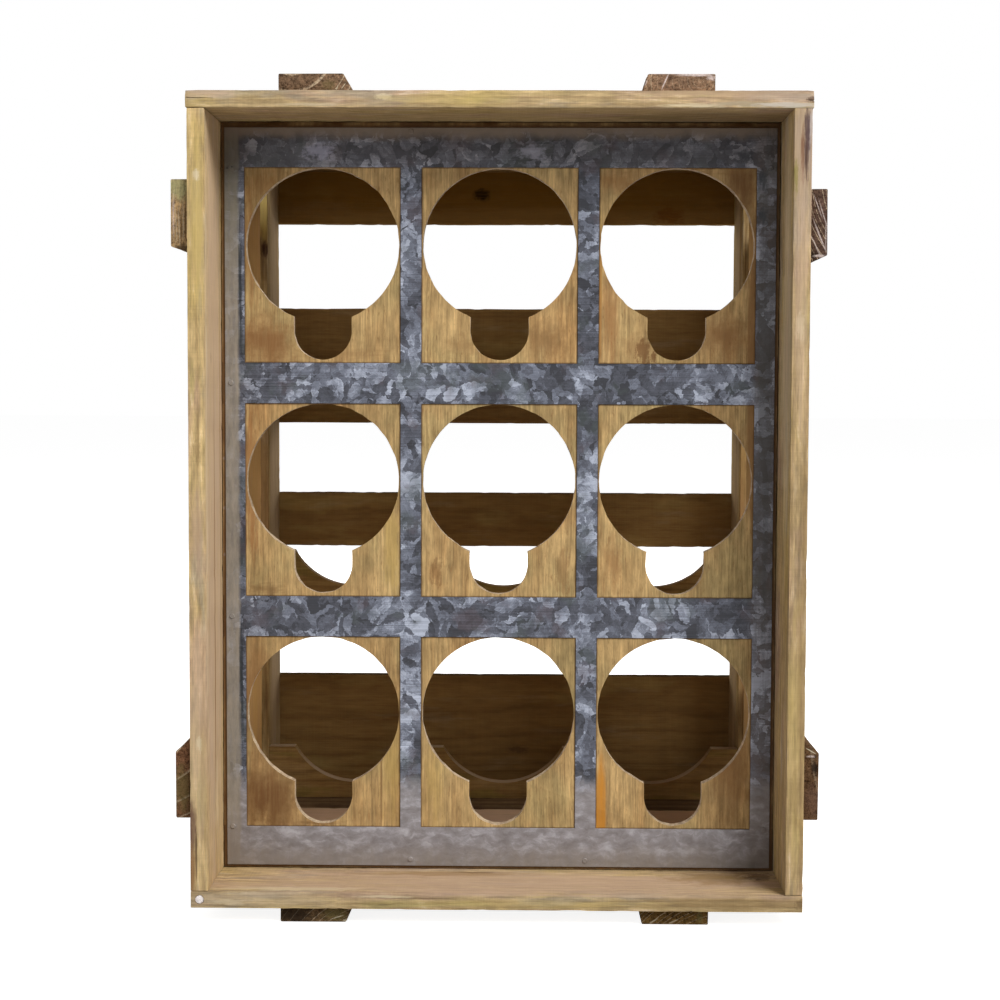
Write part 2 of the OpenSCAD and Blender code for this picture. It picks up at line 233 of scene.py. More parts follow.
def pick(piece, kind, wanted):
    """Opens a piece in edit mode with only the wanted vertices, edges or faces selected."""
    activate(piece)
    mesh = piece.data
    bpy.context.tool_settings.mesh_select_mode = (kind == "VERT", kind == "EDGE", kind == "FACE")
    groups = {"VERT": mesh.vertices, "EDGE": mesh.edges, "FACE": mesh.polygons}
    for items in groups.values():
        items.foreach_set("select", [False] * len(items))
    for item in groups[kind]:
        item.select = bool(wanted(item))
    bpy.ops.object.mode_set(mode="EDIT")


def finish_edit(piece):
    bpy.ops.object.mode_set(mode="OBJECT")
    return piece


def apply_modifier(piece, kind, **settings):
    """Adds one modifier and applies it."""
    activate(piece)
    modifier = piece.modifiers.new(kind.title(), kind)
    for name, value in settings.items():
        setattr(modifier, name, value)
    bpy.ops.object.modifier_apply(modifier=modifier.name)
    return piece


def join(pieces, name):
    """Joins several pieces into one."""
    clear_selection()
    for piece in pieces:
        piece.select_set(True)
    bpy.context.view_layer.objects.active = pieces[0]
    if len(pieces) > 1:
        bpy.ops.object.join()
    return named(pieces[0], name)


def discard(piece):
    mesh = piece.data
    bpy.data.objects.remove(piece)
    bpy.data.meshes.remove(mesh)


def cut_away(piece, cutters):
    """Takes the cutters' shapes out of a piece."""
    if not cutters:
        return piece
    cutter = join(cutters, "cutter")
    apply_modifier(piece, "BOOLEAN", operation="DIFFERENCE", solver="EXACT", object=cutter)
    discard(cutter)
    return piece


def ring_cuts(piece, grain, step):
    """Cuts a sawn piece across its grain at even steps, so that its edges can wander."""
    axis = AXES[grain]
    mesh = piece.data
    reach = [v.co[axis] for v in mesh.vertices]
    cuts = max(1, round((max(reach) - min(reach)) / step) - 1)

    def runs_along(edge):
        a, b = (mesh.vertices[i].co for i in edge.vertices)
        return abs((b - a).normalized()[axis]) > 0.99

    pick(piece, "EDGE", runs_along)
    bpy.ops.mesh.subdivide(number_cuts=cuts)
    return finish_edit(piece)


def round_edges(piece, width, segments=2, angle=35):
    return apply_modifier(piece, "BEVEL", width=width, segments=segments, limit_method="ANGLE",
                          angle_limit=math.radians(angle), profile=0.6, harden_normals=False)


def wear_pattern(name, size, detail, stops):
    """A cloudy pattern between two values, from which wear is pressed into a surface."""
    pattern = bpy.data.textures.new(name, "CLOUDS")
    pattern.noise_scale = size
    pattern.noise_depth = detail
    pattern.use_color_ramp = True
    ends = pattern.color_ramp.elements
    for end, (place, value) in zip(ends, stops):
        end.position = place
        end.color = (value, value, value, 1)
    return pattern


def press(piece, pattern, strength, mid_level=1.0, **settings):
    """Moves a surface by a pattern, inwards only unless another middle is given."""
    return apply_modifier(piece, "DISPLACE", texture=pattern, texture_coords="LOCAL", strength=strength,
                          mid_level=mid_level, **settings)


def wear(piece, wander, nick):
    """Lets the surface wander inwards and presses dents into it, never past the sawn faces."""
    shift = random.uniform(0.2, 0.9)
    press(piece, wear_pattern("slow_wander", 0.03 + 0.02 * shift, 1, ((0.2, 0), (0.8, 1))), wander)
    press(piece, wear_pattern("edge_dents", 0.0045 + 0.003 * shift, 2, ((0.27, 0), (0.42, 1))), nick)
    return piece


def smooth(piece, angle=35):
    activate(piece)
    bpy.ops.object.shade_smooth_by_angle(angle=math.radians(angle))
    return piece


def stand_for(piece, slot, *nodes):
    """Makes a finished piece the one that shows for its nodes."""
    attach(piece, "root")
    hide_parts(*nodes)
    return piece


# Where the nails stand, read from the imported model

def nail_boxes(node):
    """The box round each nail of a node."""
    copy = frame["nodes"][node].copy()
    copy.data = copy.data.copy()
    copy.parent = None
    copy.name = "nail_copy"
    bpy.context.scene.collection.objects.link(copy)
    before = set(bpy.data.objects) - {copy}
    activate(copy)
    bpy.ops.object.mode_set(mode="EDIT")
    bpy.ops.mesh.select_all(action="SELECT")
    bpy.ops.mesh.remove_doubles(threshold=1e-6)
    bpy.ops.mesh.separate(type="LOOSE")
    bpy.ops.object.mode_set(mode="OBJECT")
    boxes = []
    for part in [o for o in bpy.data.objects if o not in before]:
        points = [v.co for v in part.data.vertices]
        low = Vector([min(p[i] for p in points) for i in range(3)])
        high = Vector([max(p[i] for p in points) for i in range(3)])
        boxes.append((low, high))
        discard(part)
    return sorted(boxes, key=lambda box: tuple(round(value, 5) for value in box[0]))


Nail = namedtuple("Nail", "top axis facing radius reach")


def nail_places(node, inside=False):
    """The nails of a node: the top of each head, the axis it is driven along and which way its head
    faces, its head's radius and its length. A nail that is driven from inside points outwards."""
    places = []
    for low, high in nail_boxes(node):
        size = high - low
        axis = max(range(3), key=lambda i: size[i])
        middle = (low + high) / 2
        outwards = 1 if middle[axis] > CENTRE[axis] else -1
        facing = -outwards if inside else outwards
        top = middle.copy()
        top[axis] = high[axis] if facing > 0 else low[axis]
        across = min(size[i] for i in range(3) if i != axis)
        places.append(Nail(top, axis, facing, across / 2, size[axis]))
    return places


NAILS = {}
NAIL_GROUPS = ("corner_nails", "batten_nails", "slat_nails", "cradle_nails", "cleat_nails", "front_edge_nail")
DRIVEN_FROM_INSIDE = ("cleat_nails",)
HEAD_THICK = 0.0008
SHANK_RADIUS = 0.001
PIN_HEAD_THICK = 0.0006
PIN_SHANK_RADIUS = 0.0007
# A head this close to a face of the wood is driven into that face
HEAD_NEAR = 0.001


def find_nails():
    for node in NAIL_GROUPS:
        NAILS[node] = nail_places(node, node in DRIVEN_FROM_INSIDE)


def nail_pockets(low, high, play):
    """Cutters for the heads of the nails that are driven into the face of a box of wood."""
    pockets = []
    for nail in sum(NAILS.values(), []):
        top, axis, facing = nail.top, nail.axis, nail.facing
        face = high[axis] if facing > 0 else low[axis]
        inside = all(low[i] - play < top[i] < high[i] + play for i in range(3) if i != axis)
        if inside and abs(top[axis] - face) < HEAD_NEAR:
            start = top.copy()
            start[axis] = face + facing * 2 * OVERCUT
            depth = -facing * (abs(start[axis] - top[axis]) + HEAD_THICK)
            pockets.append(rod("pocket", start, "XYZ"[axis], nail.radius + play, depth, 20))
    return pockets


# Finishes: a recipe lays out the nodes of one material

# A mark of the panel that is narrower than this each way from its middle has a crisper edge
FINE_MARK = 0.005


class Recipe:
    """Adds the nodes of one finish and joins them."""

    def __init__(self, tree):
        self.tree = tree

    def add(self, kind, values=(), **settings):
        node = self.tree.nodes.new(kind)
        for name, value in settings.items():
            setattr(node, name, value)
        for socket, value in dict(values).items():
            self.feed(node.inputs[socket], value)
        return node

    def feed(self, socket, value):
        if isinstance(value, bpy.types.NodeSocket):
            self.tree.links.new(value, socket)
        elif socket.type == "RGBA" and len(value) == 3:
            socket.default_value = (*value, 1.0)
        else:
            socket.default_value = value

    def place(self):
        return self.add("ShaderNodeTexCoord").outputs["Object"]

    def parts(self, vector):
        """The X, Y and Z of a vector."""
        return self.add("ShaderNodeSeparateXYZ", {0: vector}).outputs

    def stretch(self, vector, scale, shift=(0, 0, 0)):
        return self.add("ShaderNodeMapping", {"Vector": vector, "Scale": scale, "Location": shift}).outputs[0]

    def cloud(self, vector, scale, detail, rough, colours=False):
        node = self.add("ShaderNodeTexNoise", {"Vector": vector, "Scale": scale, "Detail": detail,
                                               "Roughness": rough})
        return node.outputs["Color" if colours else "Fac"]

    def field(self, vector, scales, detail, rough, shift=(0, 0, 0), colours=False):
        """Clouds that are drawn out, with another scale along each axis."""
        return self.cloud(self.stretch(vector, scales, shift), 1.0, detail, rough, colours)

    def cells(self, vector, scale):
        """Crystals, each with a colour of its own."""
        return self.add("ShaderNodeTexVoronoi", {"Vector": vector, "Scale": scale}).outputs["Color"]

    def split(self, value, index):
        return self.add("ShaderNodeSeparateColor", {0: value}).outputs[index]

    def sum(self, kind, first, second=0.0, third=0.0):
        return self.add("ShaderNodeMath", {0: first, 1: second, 2: third}, operation=kind).outputs[0]

    def centred(self, value):
        return self.sum("SUBTRACT", value, 0.5)

    def vector(self, kind, first, second=(0, 0, 0)):
        node = self.add("ShaderNodeVectorMath", {0: first, 1: second}, operation=kind)
        return node.outputs["Value" if kind == "LENGTH" else "Vector"]

    def push(self, clouds, amount):
        """Coloured clouds as a push to all sides."""
        centred = self.vector("SUBTRACT", clouds, (0.5, 0.5, 0.5))
        node = self.add("ShaderNodeVectorMath", {0: centred, "Scale": amount}, operation="SCALE")
        return node.outputs["Vector"]

    def turned(self, vector, share):
        """A vector turned in the plane of the front by a share of a full turn."""
        angle = self.sum("MULTIPLY", share, 2 * math.pi)
        return self.add("ShaderNodeVectorRotate", {"Vector": vector, "Axis": (0, 1, 0), "Angle": angle},
                        rotation_type="AXIS_ANGLE").outputs[0]

    def band(self, value, low, high, start=0.0, end=1.0):
        return self.add("ShaderNodeMapRange", {"Value": value, "From Min": low, "From Max": high,
                                               "To Min": start, "To Max": end},
                        interpolation_type="SMOOTHSTEP").outputs["Result"]

    def ramp(self, value, stops, kind="LINEAR"):
        node = self.add("ShaderNodeValToRGB", {"Fac": value})
        scale = node.color_ramp
        scale.interpolation = kind
        while len(scale.elements) < len(stops):
            scale.elements.new(0.5)
        for element, (place, tone) in zip(scale.elements, stops):
            element.position = place
            element.color = (*tone, 1.0) if hasattr(tone, "__len__") else (tone, tone, tone, 1.0)
        return node.outputs["Color"]

    def mix(self, share, first, second, blend="MIX"):
        node = self.tree.nodes.new("ShaderNodeMix")
        node.data_type = "RGBA"
        node.blend_type = blend
        for index, value in ((0, share), (6, first), (7, second)):
            self.feed(node.inputs[index], value)
        return node.outputs[2]

    def lighten(self, tone, amount):
        """Multiplies a colour by a grey amount."""
        grey = self.add("ShaderNodeCombineColor", {0: amount, 1: amount, 2: amount}).outputs[0]
        return self.mix(1.0, tone, grey, "MULTIPLY")

    def vary(self, tone, value, low, high, darkest, lightest):
        """Makes a colour darker or lighter as a value goes from low to high."""
        return self.lighten(tone, self.band(value, low, high, darkest, lightest))

    def tint(self, tone, shade, value, low, high, share):
        """Lays a shade over a colour, more and more as a value goes from low to high."""
        return self.mix(self.band(value, low, high, 0.0, share), tone, shade)

    def coat(self, tone, shade, mask, share):
        """Lays a shade over a colour inside a mask."""
        return self.mix(self.sum("MULTIPLY", mask, share), tone, shade)

    def spot(self, vector, centre, radii, ragged, soft=0.6, turn=0.0):
        """1 inside an uneven, broken oval and 0 outside it. A tall oval turned by a few degrees leans
        right."""
        near = self.add("ShaderNodeMapping", {"Vector": vector, "Location": centre, "Scale": radii,
                                              "Rotation": (0.0, math.radians(turn), 0.0)},
                        vector_type="TEXTURE").outputs[0]
        away = self.vector("LENGTH", near)
        torn = self.sum("MULTIPLY_ADD", self.cloud(near, 1.9, 5.0, 0.68), 3.2 * ragged, -1.6 * ragged)
        return self.band(self.sum("ADD", away, torn), 1.0, 1.0 - soft)

    def marked(self, tone, place, marks, broken=None, soft=0.6, crisp=None):
        """Lays marks over a colour. A mark is its shade, centre, radii, share, raggedness and, for
        some, turn."""
        for shade, centre, radii, share, ragged, *turn in marks:
            edge = crisp if crisp and radii[0] <= FINE_MARK else soft
            mask = self.spot(place, centre, radii, ragged, edge, *turn)
            if broken is not None:
                mask = self.sum("MULTIPLY", mask, broken)
            tone = self.coat(tone, shade, mask, share)
        return tone

    def inside(self, value, first, pitch, half):
        """How far a place lies inside the nearest one of a row of windows."""
        # Eight pitches more keep the value above zero
        away = self.sum("PINGPONG", self.sum("ADD", value, 8 * pitch - first), pitch / 2)
        return self.sum("SUBTRACT", half, away)

    def surface(self, shader, values, height, depth):
        """Feeds a shader by the names of its sockets and gives the surface its relief."""
        for name, value in values.items():
            self.feed(shader.inputs[name], value)
        bump = self.add("ShaderNodeBump", {"Height": height, "Strength": 1.0, "Distance": depth})
        self.feed(shader.inputs["Normal"], bump.outputs["Normal"])


def new_finish(name):
    """An empty material with its recipe and its shader."""
    finish = bpy.data.materials.new(name)
    finish.use_nodes = True
    tree = finish.node_tree
    tree.nodes.clear()
    recipe = Recipe(tree)
    shader = recipe.add("ShaderNodeBsdfPrincipled")
    output = recipe.add("ShaderNodeOutputMaterial", {"Surface": shader.outputs["BSDF"]})
    output.is_active_output = True
    return finish, recipe, shader


def seen_rays(recipe):
    """1 for rays that show a background: straight from the camera, in a gloss or through glass."""
    rays = recipe.add("ShaderNodeLightPath").outputs
    seen = recipe.sum("MAXIMUM", rays["Is Camera Ray"], rays["Is Glossy Ray"])
    return recipe.sum("MAXIMUM", seen, rays["Is Transmission Ray"])


GRAIN_ORDER = {"X": ("Y", "Z", "X"), "Y": ("X", "Z", "Y"), "Z": ("X", "Y", "Z")}
GRAIN_PARTS = ("Ring", "Fibre", "Fleck", "Saw", "Mottle", "Cloud", "Patch")


def grain_group():
    """One shared group for the grain of sawn wood. Its vector runs along the grain in z, from the pith."""
    group = bpy.data.node_groups.get("sawn_grain")
    if group:
        return group
    group = bpy.data.node_groups.new("sawn_grain", "ShaderNodeTree")
    for name, kind in (("Vector", "NodeSocketVector"), ("Ring Width", "NodeSocketFloat"),
                       ("Waver", "NodeSocketFloat")):
        group.interface.new_socket(name=name, in_out="INPUT", socket_type=kind)
    for name in GRAIN_PARTS:
        group.interface.new_socket(name=name, in_out="OUTPUT", socket_type="NodeSocketFloat")
    recipe = Recipe(group)
    entry = recipe.add("NodeGroupInput").outputs
    start, waver = entry["Vector"], entry["Waver"]
    # The tree leans and swells slowly along its length
    slow = recipe.push(recipe.field(start, (14, 14, 2.2), 2.0, 0.5, colours=True), waver)
    quick = recipe.push(recipe.field(start, (60, 60, 9), 2.0, 0.5, colours=True),
                        recipe.sum("MULTIPLY", waver, 0.12))
    bent = recipe.vector("ADD", start, recipe.vector("ADD", slow, quick))
    radius = recipe.vector("LENGTH", recipe.vector("MULTIPLY", bent, (1, 1, 0)))
    years = recipe.sum("DIVIDE", radius, entry["Ring Width"])
    uneven = recipe.add("ShaderNodeTexNoise", {"W": years, "Scale": 0.33, "Detail": 1.0},
                        noise_dimensions="1D")
    years = recipe.sum("MULTIPLY_ADD", uneven.outputs["Fac"], 2.2, years)
    ring = recipe.ramp(recipe.sum("FRACT", years),
                       ((0.0, 0.35), (0.1, 0.02), (0.55, 0.12), (0.86, 0.85), (0.94, 1.0), (1.0, 0.35)))
    fibre = recipe.field(start, (900, 900, 22), 3.0, 0.65)
    fine = recipe.field(start, (2600, 2600, 90), 2.0, 0.6)
    recipe.add("NodeGroupOutput", {
        "Ring": ring,
        "Fibre": recipe.sum("MULTIPLY_ADD", fine, 0.4, recipe.sum("MULTIPLY", fibre, 0.6)),
        "Fleck": recipe.band(recipe.field(start, (700, 700, 60), 3.0, 0.7), 0.6, 0.74),
        "Saw": recipe.field(start, (18, 18, 1500), 2.0, 0.5),
        "Mottle": recipe.field(start, (330, 330, 60), 4.0, 0.62),
        "Cloud": recipe.field(start, (38, 38, 11), 4.0, 0.6),
        "Patch": recipe.field(start, (90, 90, 16), 4.0, 0.6, (3.1, 1.7, 0.4)),
    })
    return group


def wood(name, grain, pith, shades, ring_width, ring_share=0.7, waver=0.012, ring_line=None, patches=(),
         contrast=1.0, relief_depth=0.00022, saw_share=0.12, marks=(), painted_top_shading=None):
    """Sawn wood with rings round a pith line, fibres, flecks, tinted patches and marks. A patch is its
    shade, the part of the grain it follows, from where to where, and its share. The last argument is a
    colour painted over its upper sides as painted light or painted shade, with its share."""
    finish, recipe, shader = new_finish(name)
    place = recipe.place()
    letters = recipe.parts(place)
    order = {i: letters[letter] for i, letter in enumerate(GRAIN_ORDER[grain])}
    along_grain = recipe.add("ShaderNodeCombineXYZ", order).outputs[0]
    from_pith = recipe.vector("SUBTRACT", along_grain, (*pith, 0.0))
    group = recipe.add("ShaderNodeGroup", {"Vector": from_pith, "Ring Width": ring_width, "Waver": waver},
                       node_tree=grain_group()).outputs
    ring, fibre, fleck, saw, mottle = (group[part] for part in GRAIN_PARTS[:5])
    if ring_line:
        ring = recipe.band(ring, *ring_line)
    pale, dark = shades
    tone = recipe.coat(pale, dark, ring, ring_share)
    for shade, part, low, high, share in patches:
        tone = recipe.tint(tone, shade, group[part], low, high, share)
    for part in (mottle, fibre):
        tone = recipe.vary(tone, part, 0.25, 0.75, 1 - 0.2 * contrast, 1 + 0.17 * contrast)
    tone = recipe.vary(tone, saw, 0.25, 0.75, 1 - 0.4 * saw_share, 1 + 0.4 * saw_share)
    tone = recipe.coat(tone, dark, fleck, 0.25)
    tone = recipe.marked(tone, place, marks, recipe.band(fibre, 0.3, 0.62, 0.55, 1.0))
    # A colour painted over the upper sides: painted light where it is pale, painted shade where it is dark
    if painted_top_shading:
        facing = recipe.add("ShaderNodeNewGeometry").outputs["True Normal"]
        tone = recipe.tint(tone, painted_top_shading[0], recipe.parts(facing)["Z"], 0.35, 0.9, painted_top_shading[1])
    height = recipe.sum("MULTIPLY_ADD", ring, 0.35, fibre)
    height = recipe.sum("MULTIPLY_ADD", saw, saw_share, height)
    height = recipe.sum("MULTIPLY_ADD", mottle, 0.5, height)
    recipe.surface(shader, {"Base Color": tone, "Roughness": recipe.band(fibre, 0.3, 0.7, 0.85, 0.62),
                            "Specular IOR Level": 0.0}, height, relief_depth)
    return finish


def dress(piece, *finishes):
    piece.data.materials.clear()
    for finish in finishes:
        piece.data.materials.append(finish)
    return piece


# The boards, slats, battens, cleats and rails: node, grain, pith as a place in the two directions
# across the grain, measured in millimetres from the middle of the wood; for a batten then its ring
# width in millimetres and how clear its rings are; for a front board and a batten last how light it
# is in red, green and blue

FRONT_BOARDS = {
    "top_front_board": ("X", (-150, -38), (1.02, 1.01, 1.05)),
    "floor_front_board": ("X", (-138, 46), (0.96, 0.95, 0.98)),
    "left_front_board": ("Z", (-32, -150), (1.18, 1.15, 1.1)),
    "right_front_board": ("Z", (36, -142), (0.92, 0.89, 0.91)),
}
REAR_BOARDS = {
    "top_rear_board": ("X", (20, -50)),
    "floor_rear_board": ("X", (-12, 60)),
    "left_rear_board": ("Z", (-45, 10)),
    "right_rear_board": ("Z", (50, -14)),
}
SLATS = {
    "back_slat_top": ("X", (38, 4)),
    "back_slat_high": ("X", (-44, 18)),
    "back_slat_low": ("X", (52, -8)),
    "back_slat_bottom": ("X", (-60, 25)),
}
CLEATS = {
    "left_cleat": ("Z", (30, 22)),
    "right_cleat": ("Z", (-28, 25)),
    "top_cleat": ("X", (26, 30)),
    "floor_cleat": ("X", (30, -24)),
}
CRADLES = {
    "lower_cradle": ("X", (36, -20)),
    "middle_cradle": ("X", (-40, -30)),
    "upper_cradle": ("X", (44, 24)),
}
BATTENS = {
    "top_left_batten": ((-12.4, 17), 8.3, 0.85, (1.38, 1.45, 1.45)),
    "top_right_batten": ((12.0, 1), 2.6, 0.55, (2.05, 2.15, 2.2)),
    "left_upper_batten": ((-150, 25), 2.1, 0.95, (3.2, 3.5, 2.85)),
    "left_lower_batten": ((-30, 44), 9.0, 0.75, (1.38, 1.13, 0.98)),
    "right_upper_batten": ((70, 32), 3.0, 1.0, (0.8, 0.82, 1.0)),
    "right_lower_batten": ((90, 20), 24, 0.25, (0.95, 0.9, 0.78)),
    "bottom_left_batten": ((34, -36), 3.6, 0.6, (0.95, 1.0, 0.85)),
    "bottom_right_batten": ((27, -40), 2.6, 0.6, (0.86, 0.84, 0.46)),
}


def tones(colours, *names, light=(1.0, 1.0, 1.0)):
    """Colours by name, made lighter or darker in red, green and blue."""
    return tuple(tuple(min(1.0, share * part) for share, part in zip(light, getattr(colours, name)))
                 for name in names)


def pith_place(node, grain, offset):
    low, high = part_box(node)
    middle = (low + high) / 2
    first, second = (AXES[letter] for letter in GRAIN_ORDER[grain][:2])
    return middle[first] + offset[0] / 1000, middle[second] + offset[1] / 1000


def plank(node, grain, sizes, rounding, wander, nick, shape=None, splits=()):
    """A sawn piece in the place of its node, with worn edges and pockets for its nails."""
    low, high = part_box(node)
    piece = block(node + "_wood", low, high)
    if shape:
        shape(piece)
    ring_cuts(piece, grain, sizes.ring_step)
    round_edges(piece, rounding)
    cut_away(piece, nail_pockets(low, high, sizes.pocket_play) + list(splits))
    wear(piece, wander, nick)
    return smooth(piece)


def rim_patches(colours, light):
    yellow, pink, grey, moss, scuff = tones(colours, "pine_yellow", "pine_pink", "pine_grey", "moss", "scuff",
                                            light=light)
    return ((yellow, "Cloud", 0.5, 0.66, 0.75), (pink, "Cloud", 0.48, 0.34, 0.8),
            (grey, "Patch", 0.52, 0.66, 0.7), (moss, "Patch", 0.42, 0.3, 0.4),
            (scuff, "Mottle", 0.6, 0.74, 0.4), (grey, "Mottle", 0.4, 0.26, 0.3))


# The faces that marks lie on, by their y
RIM, BATTEN, PANEL, SHEET, REAR, SLAT = -0.1538, -0.1493, -0.101, -0.1018, 0.0862, 0.1442


def rim_marks(colours):
    """Marks on the front boards: shade, centre, radii, share and raggedness."""
    stain_and_shade, grey, pink, yellow, brown = tones(colours, "stain_and_shade", "pine_grey", "pine_pink", "pine_yellow",
                                             "aged_pale")
    dull, rose = (0.25, 0.165, 0.075), (0.6, 0.435, 0.315)
    cream, umber = (0.72, 0.6, 0.4), (0.25, 0.12, 0.04)
    return {
        "top_front_board": (
            # Painted shade on the underside of the top board
            (dull, (0.03, -0.118, 0.4369), (0.3, 0.042, 0.0012), 0.55, 0.2),
            (stain_and_shade, (0.12, -0.112, 0.4369), (0.09, 0.03, 0.0012), 0.4, 0.4),
            (cream, (-0.0605, RIM, 0.4425), (0.006, 0.02, 0.0022), 0.95, 0.45),
            (cream, (0.103, RIM, 0.438), (0.022, 0.008, 0.0014), 0.85, 0.75),
            (grey, (0.128, RIM, 0.4388), (0.02, 0.01, 0.0018), 0.8, 0.7),
            ((0.6, 0.54, 0.46), (0.152, RIM, 0.4383), (0.022, 0.008, 0.002), 0.9, 0.6),
            ((0.44, 0.37, 0.3), (0.15, RIM, 0.4425), (0.03, 0.01, 0.003), 0.55, 0.6),
            (yellow, (-0.03, RIM, 0.441), (0.05, 0.03, 0.004), 0.5, 0.6),
            (rose, (-0.152, RIM, 0.4445), (0.018, 0.03, 0.0035), 0.7, 0.5),
            (pink, (0.118, RIM, 0.4445), (0.05, 0.03, 0.003), 0.7, 0.5),
            (stain_and_shade, (0.165, RIM, 0.4412), (0.0042, 0.02, 0.0022), 0.7, 0.6),
            (stain_and_shade, (-0.069, RIM, 0.4455), (0.005, 0.01, 0.0009), 0.45, 0.6),
            (stain_and_shade, (-0.13, RIM, 0.4463), (0.026, 0.01, 0.001), 0.55, 0.6),
            (stain_and_shade, (0.03, RIM, 0.4463), (0.07, 0.01, 0.0009), 0.45, 0.7),
            (cream, (-0.1, RIM, 0.4384), (0.02, 0.01, 0.001), 0.6, 0.7),
        ),
        "floor_front_board": (
            ((0.66, 0.45, 0.32), (0.0, 0.02, 0.0177), (0.4, 0.07, 0.006), 0.95, 0.15),
            (stain_and_shade, (0.1655, RIM, 0.013), (0.006, 0.03, 0.004), 0.75, 0.6),
            (dull, (0.125, RIM, 0.013), (0.065, 0.012, 0.005), 0.7, 0.5),
            ((0.6, 0.47, 0.33), (-0.125, RIM, 0.013), (0.05, 0.012, 0.005), 0.45, 0.5),
            (yellow, (0.02, RIM, 0.012), (0.1, 0.03, 0.003), 0.45, 0.6),
            ((0.53, 0.37, 0.265), (0.01, -0.132, 0.0178), (0.24, 0.036, 0.004), 0.85, 0.4),
            (brown, (0.12, -0.118, 0.0178), (0.03, 0.016, 0.004), 0.6, 0.8),
            (stain_and_shade, (0.146, -0.113, 0.0178), (0.01, 0.01, 0.004), 0.6, 0.8),
            (stain_and_shade, (-0.012, -0.109, 0.0178), (0.016, 0.002, 0.003), 0.7, 0.7),
            (brown, (-0.03, -0.112, 0.0178), (0.06, 0.006, 0.003), 0.6, 0.8),
            (cream, (-0.11, -0.146, 0.0178), (0.05, 0.004, 0.003), 0.6, 0.7),
            (cream, (-0.145, RIM, 0.0118), (0.012, 0.02, 0.002), 0.5, 0.6),
            (stain_and_shade, (-0.045, RIM, 0.0148), (0.03, 0.01, 0.0007), 0.6, 0.6),
            (cream, (-0.06, RIM, 0.0155), (0.02, 0.01, 0.001), 0.7, 0.6),
        ),
        "left_front_board": (
            (yellow, (-0.1595, RIM, 0.375), (0.005, 0.01, 0.055), 0.8, 0.5),
            (cream, (-0.1598, RIM, 0.4015), (0.0026, 0.02, 0.004), 0.95, 0.45),
            ((0.54, 0.392, 0.272), (-0.155, -0.126, 0.23), (0.003, 0.036, 0.4), 0.95, 0.25),
            ((0.57, 0.42, 0.29), (-0.16, RIM, 0.09), (0.008, 0.01, 0.08), 0.55, 0.5),
            ((0.46, 0.25, 0.088), (-0.155, 0.05, 0.23), (0.004, 0.13, 0.7), 0.95, 0.15),
            (umber, (-0.155, -0.055, 0.23), (0.004, 0.03, 0.7), 0.8, 0.3),
            (cream, (-0.1552, -0.15, 0.23), (0.001, 0.004, 0.23), 0.5, 0.6),
            (brown, (-0.155, -0.106, 0.23), (0.002, 0.003, 0.24), 0.5, 0.5),
            (stain_and_shade, (-0.155, -0.135, 0.305), (0.001, 0.001, 0.006), 0.9, 0.3),
            (umber, (-0.155, -0.126, 0.15), (0.003, 0.0016, 0.2), 1.0, 0.15),
            (cream, (-0.155, -0.122, 0.06), (0.0025, 0.006, 0.03), 0.45, 0.7),
            ((0.16, 0.085, 0.065), (-0.164, RIM, 0.052), (0.0036, 0.02, 0.018), 1.0, 0.35),
            ((0.28, 0.14, 0.062), (-0.1642, RIM, 0.029), (0.003, 0.02, 0.017), 0.9, 0.4),
            (stain_and_shade, (-0.1617, RIM, 0.037), (0.0007, 0.02, 0.02), 0.9, 0.35),
            (cream, (-0.1598, RIM, 0.098), (0.0022, 0.01, 0.005), 0.8, 0.5),
            (brown, (-0.157, RIM, 0.08), (0.003, 0.01, 0.06), 0.35, 0.7),
            (stain_and_shade, (-0.1652, RIM, 0.03), (0.0012, 0.02, 0.022), 0.6, 0.5),
            (pink, (-0.16, RIM, 0.21), (0.005, 0.01, 0.03), 0.7, 0.6),
            (dull, (-0.1605, RIM, 0.255), (0.003, 0.01, 0.008), 0.5, 0.8),
        ),
        "right_front_board": (
            (cream, (0.155, -0.13, 0.33), (0.002, 0.026, 0.17), 0.6, 0.5),
            ((0.46, 0.27, 0.11), (0.155, 0.05, 0.23), (0.004, 0.13, 0.7), 0.9, 0.15),
            ((0.45, 0.335, 0.245), (0.16, RIM, 0.408), (0.007, 0.01, 0.056), 0.85, 0.5),
            ((0.3, 0.245, 0.235), (0.1636, RIM, 0.42), (0.0022, 0.02, 0.024), 0.7, 0.6),
            ((0.085, 0.052, 0.056), (0.1622, RIM, 0.426), (0.0023, 0.02, 0.015), 0.9, 0.6),
            ((0.095, 0.055, 0.056), (0.1619, RIM, 0.411), (0.0018, 0.02, 0.017), 0.95, 0.6),
            ((0.2, 0.095, 0.055), (0.1599, RIM, 0.412), (0.0013, 0.02, 0.02), 0.9, 0.6),
            ((0.56, 0.5, 0.48), (0.1643, RIM, 0.427), (0.001, 0.02, 0.013), 0.7, 0.5),
            (stain_and_shade, (0.1619, RIM, 0.41), (0.0008, 0.02, 0.012), 0.8, 0.4),
            (pink, (0.165, RIM, 0.4), (0.0012, 0.02, 0.05), 0.8, 0.5),
            ((0.29, 0.245, 0.075), (0.1566, RIM, 0.401), (0.0015, 0.01, 0.011), 0.9, 0.6),
            (cream, (0.1598, RIM, 0.3225), (0.003, 0.02, 0.01), 0.65, 0.7),
            (rose, (0.16, RIM, 0.33), (0.005, 0.02, 0.09), 0.5, 0.5),
            (stain_and_shade, (0.1654, RIM, 0.24), (0.001, 0.02, 0.09), 0.7, 0.6),
            (yellow, (0.159, RIM, 0.1), (0.005, 0.01, 0.09), 0.5, 0.6),
            (dull, (0.163, RIM, 0.15), (0.004, 0.01, 0.15), 0.4, 0.6),
            (dull, (0.16, RIM, 0.07), (0.004, 0.01, 0.02), 0.45, 0.7),
        ),
    }


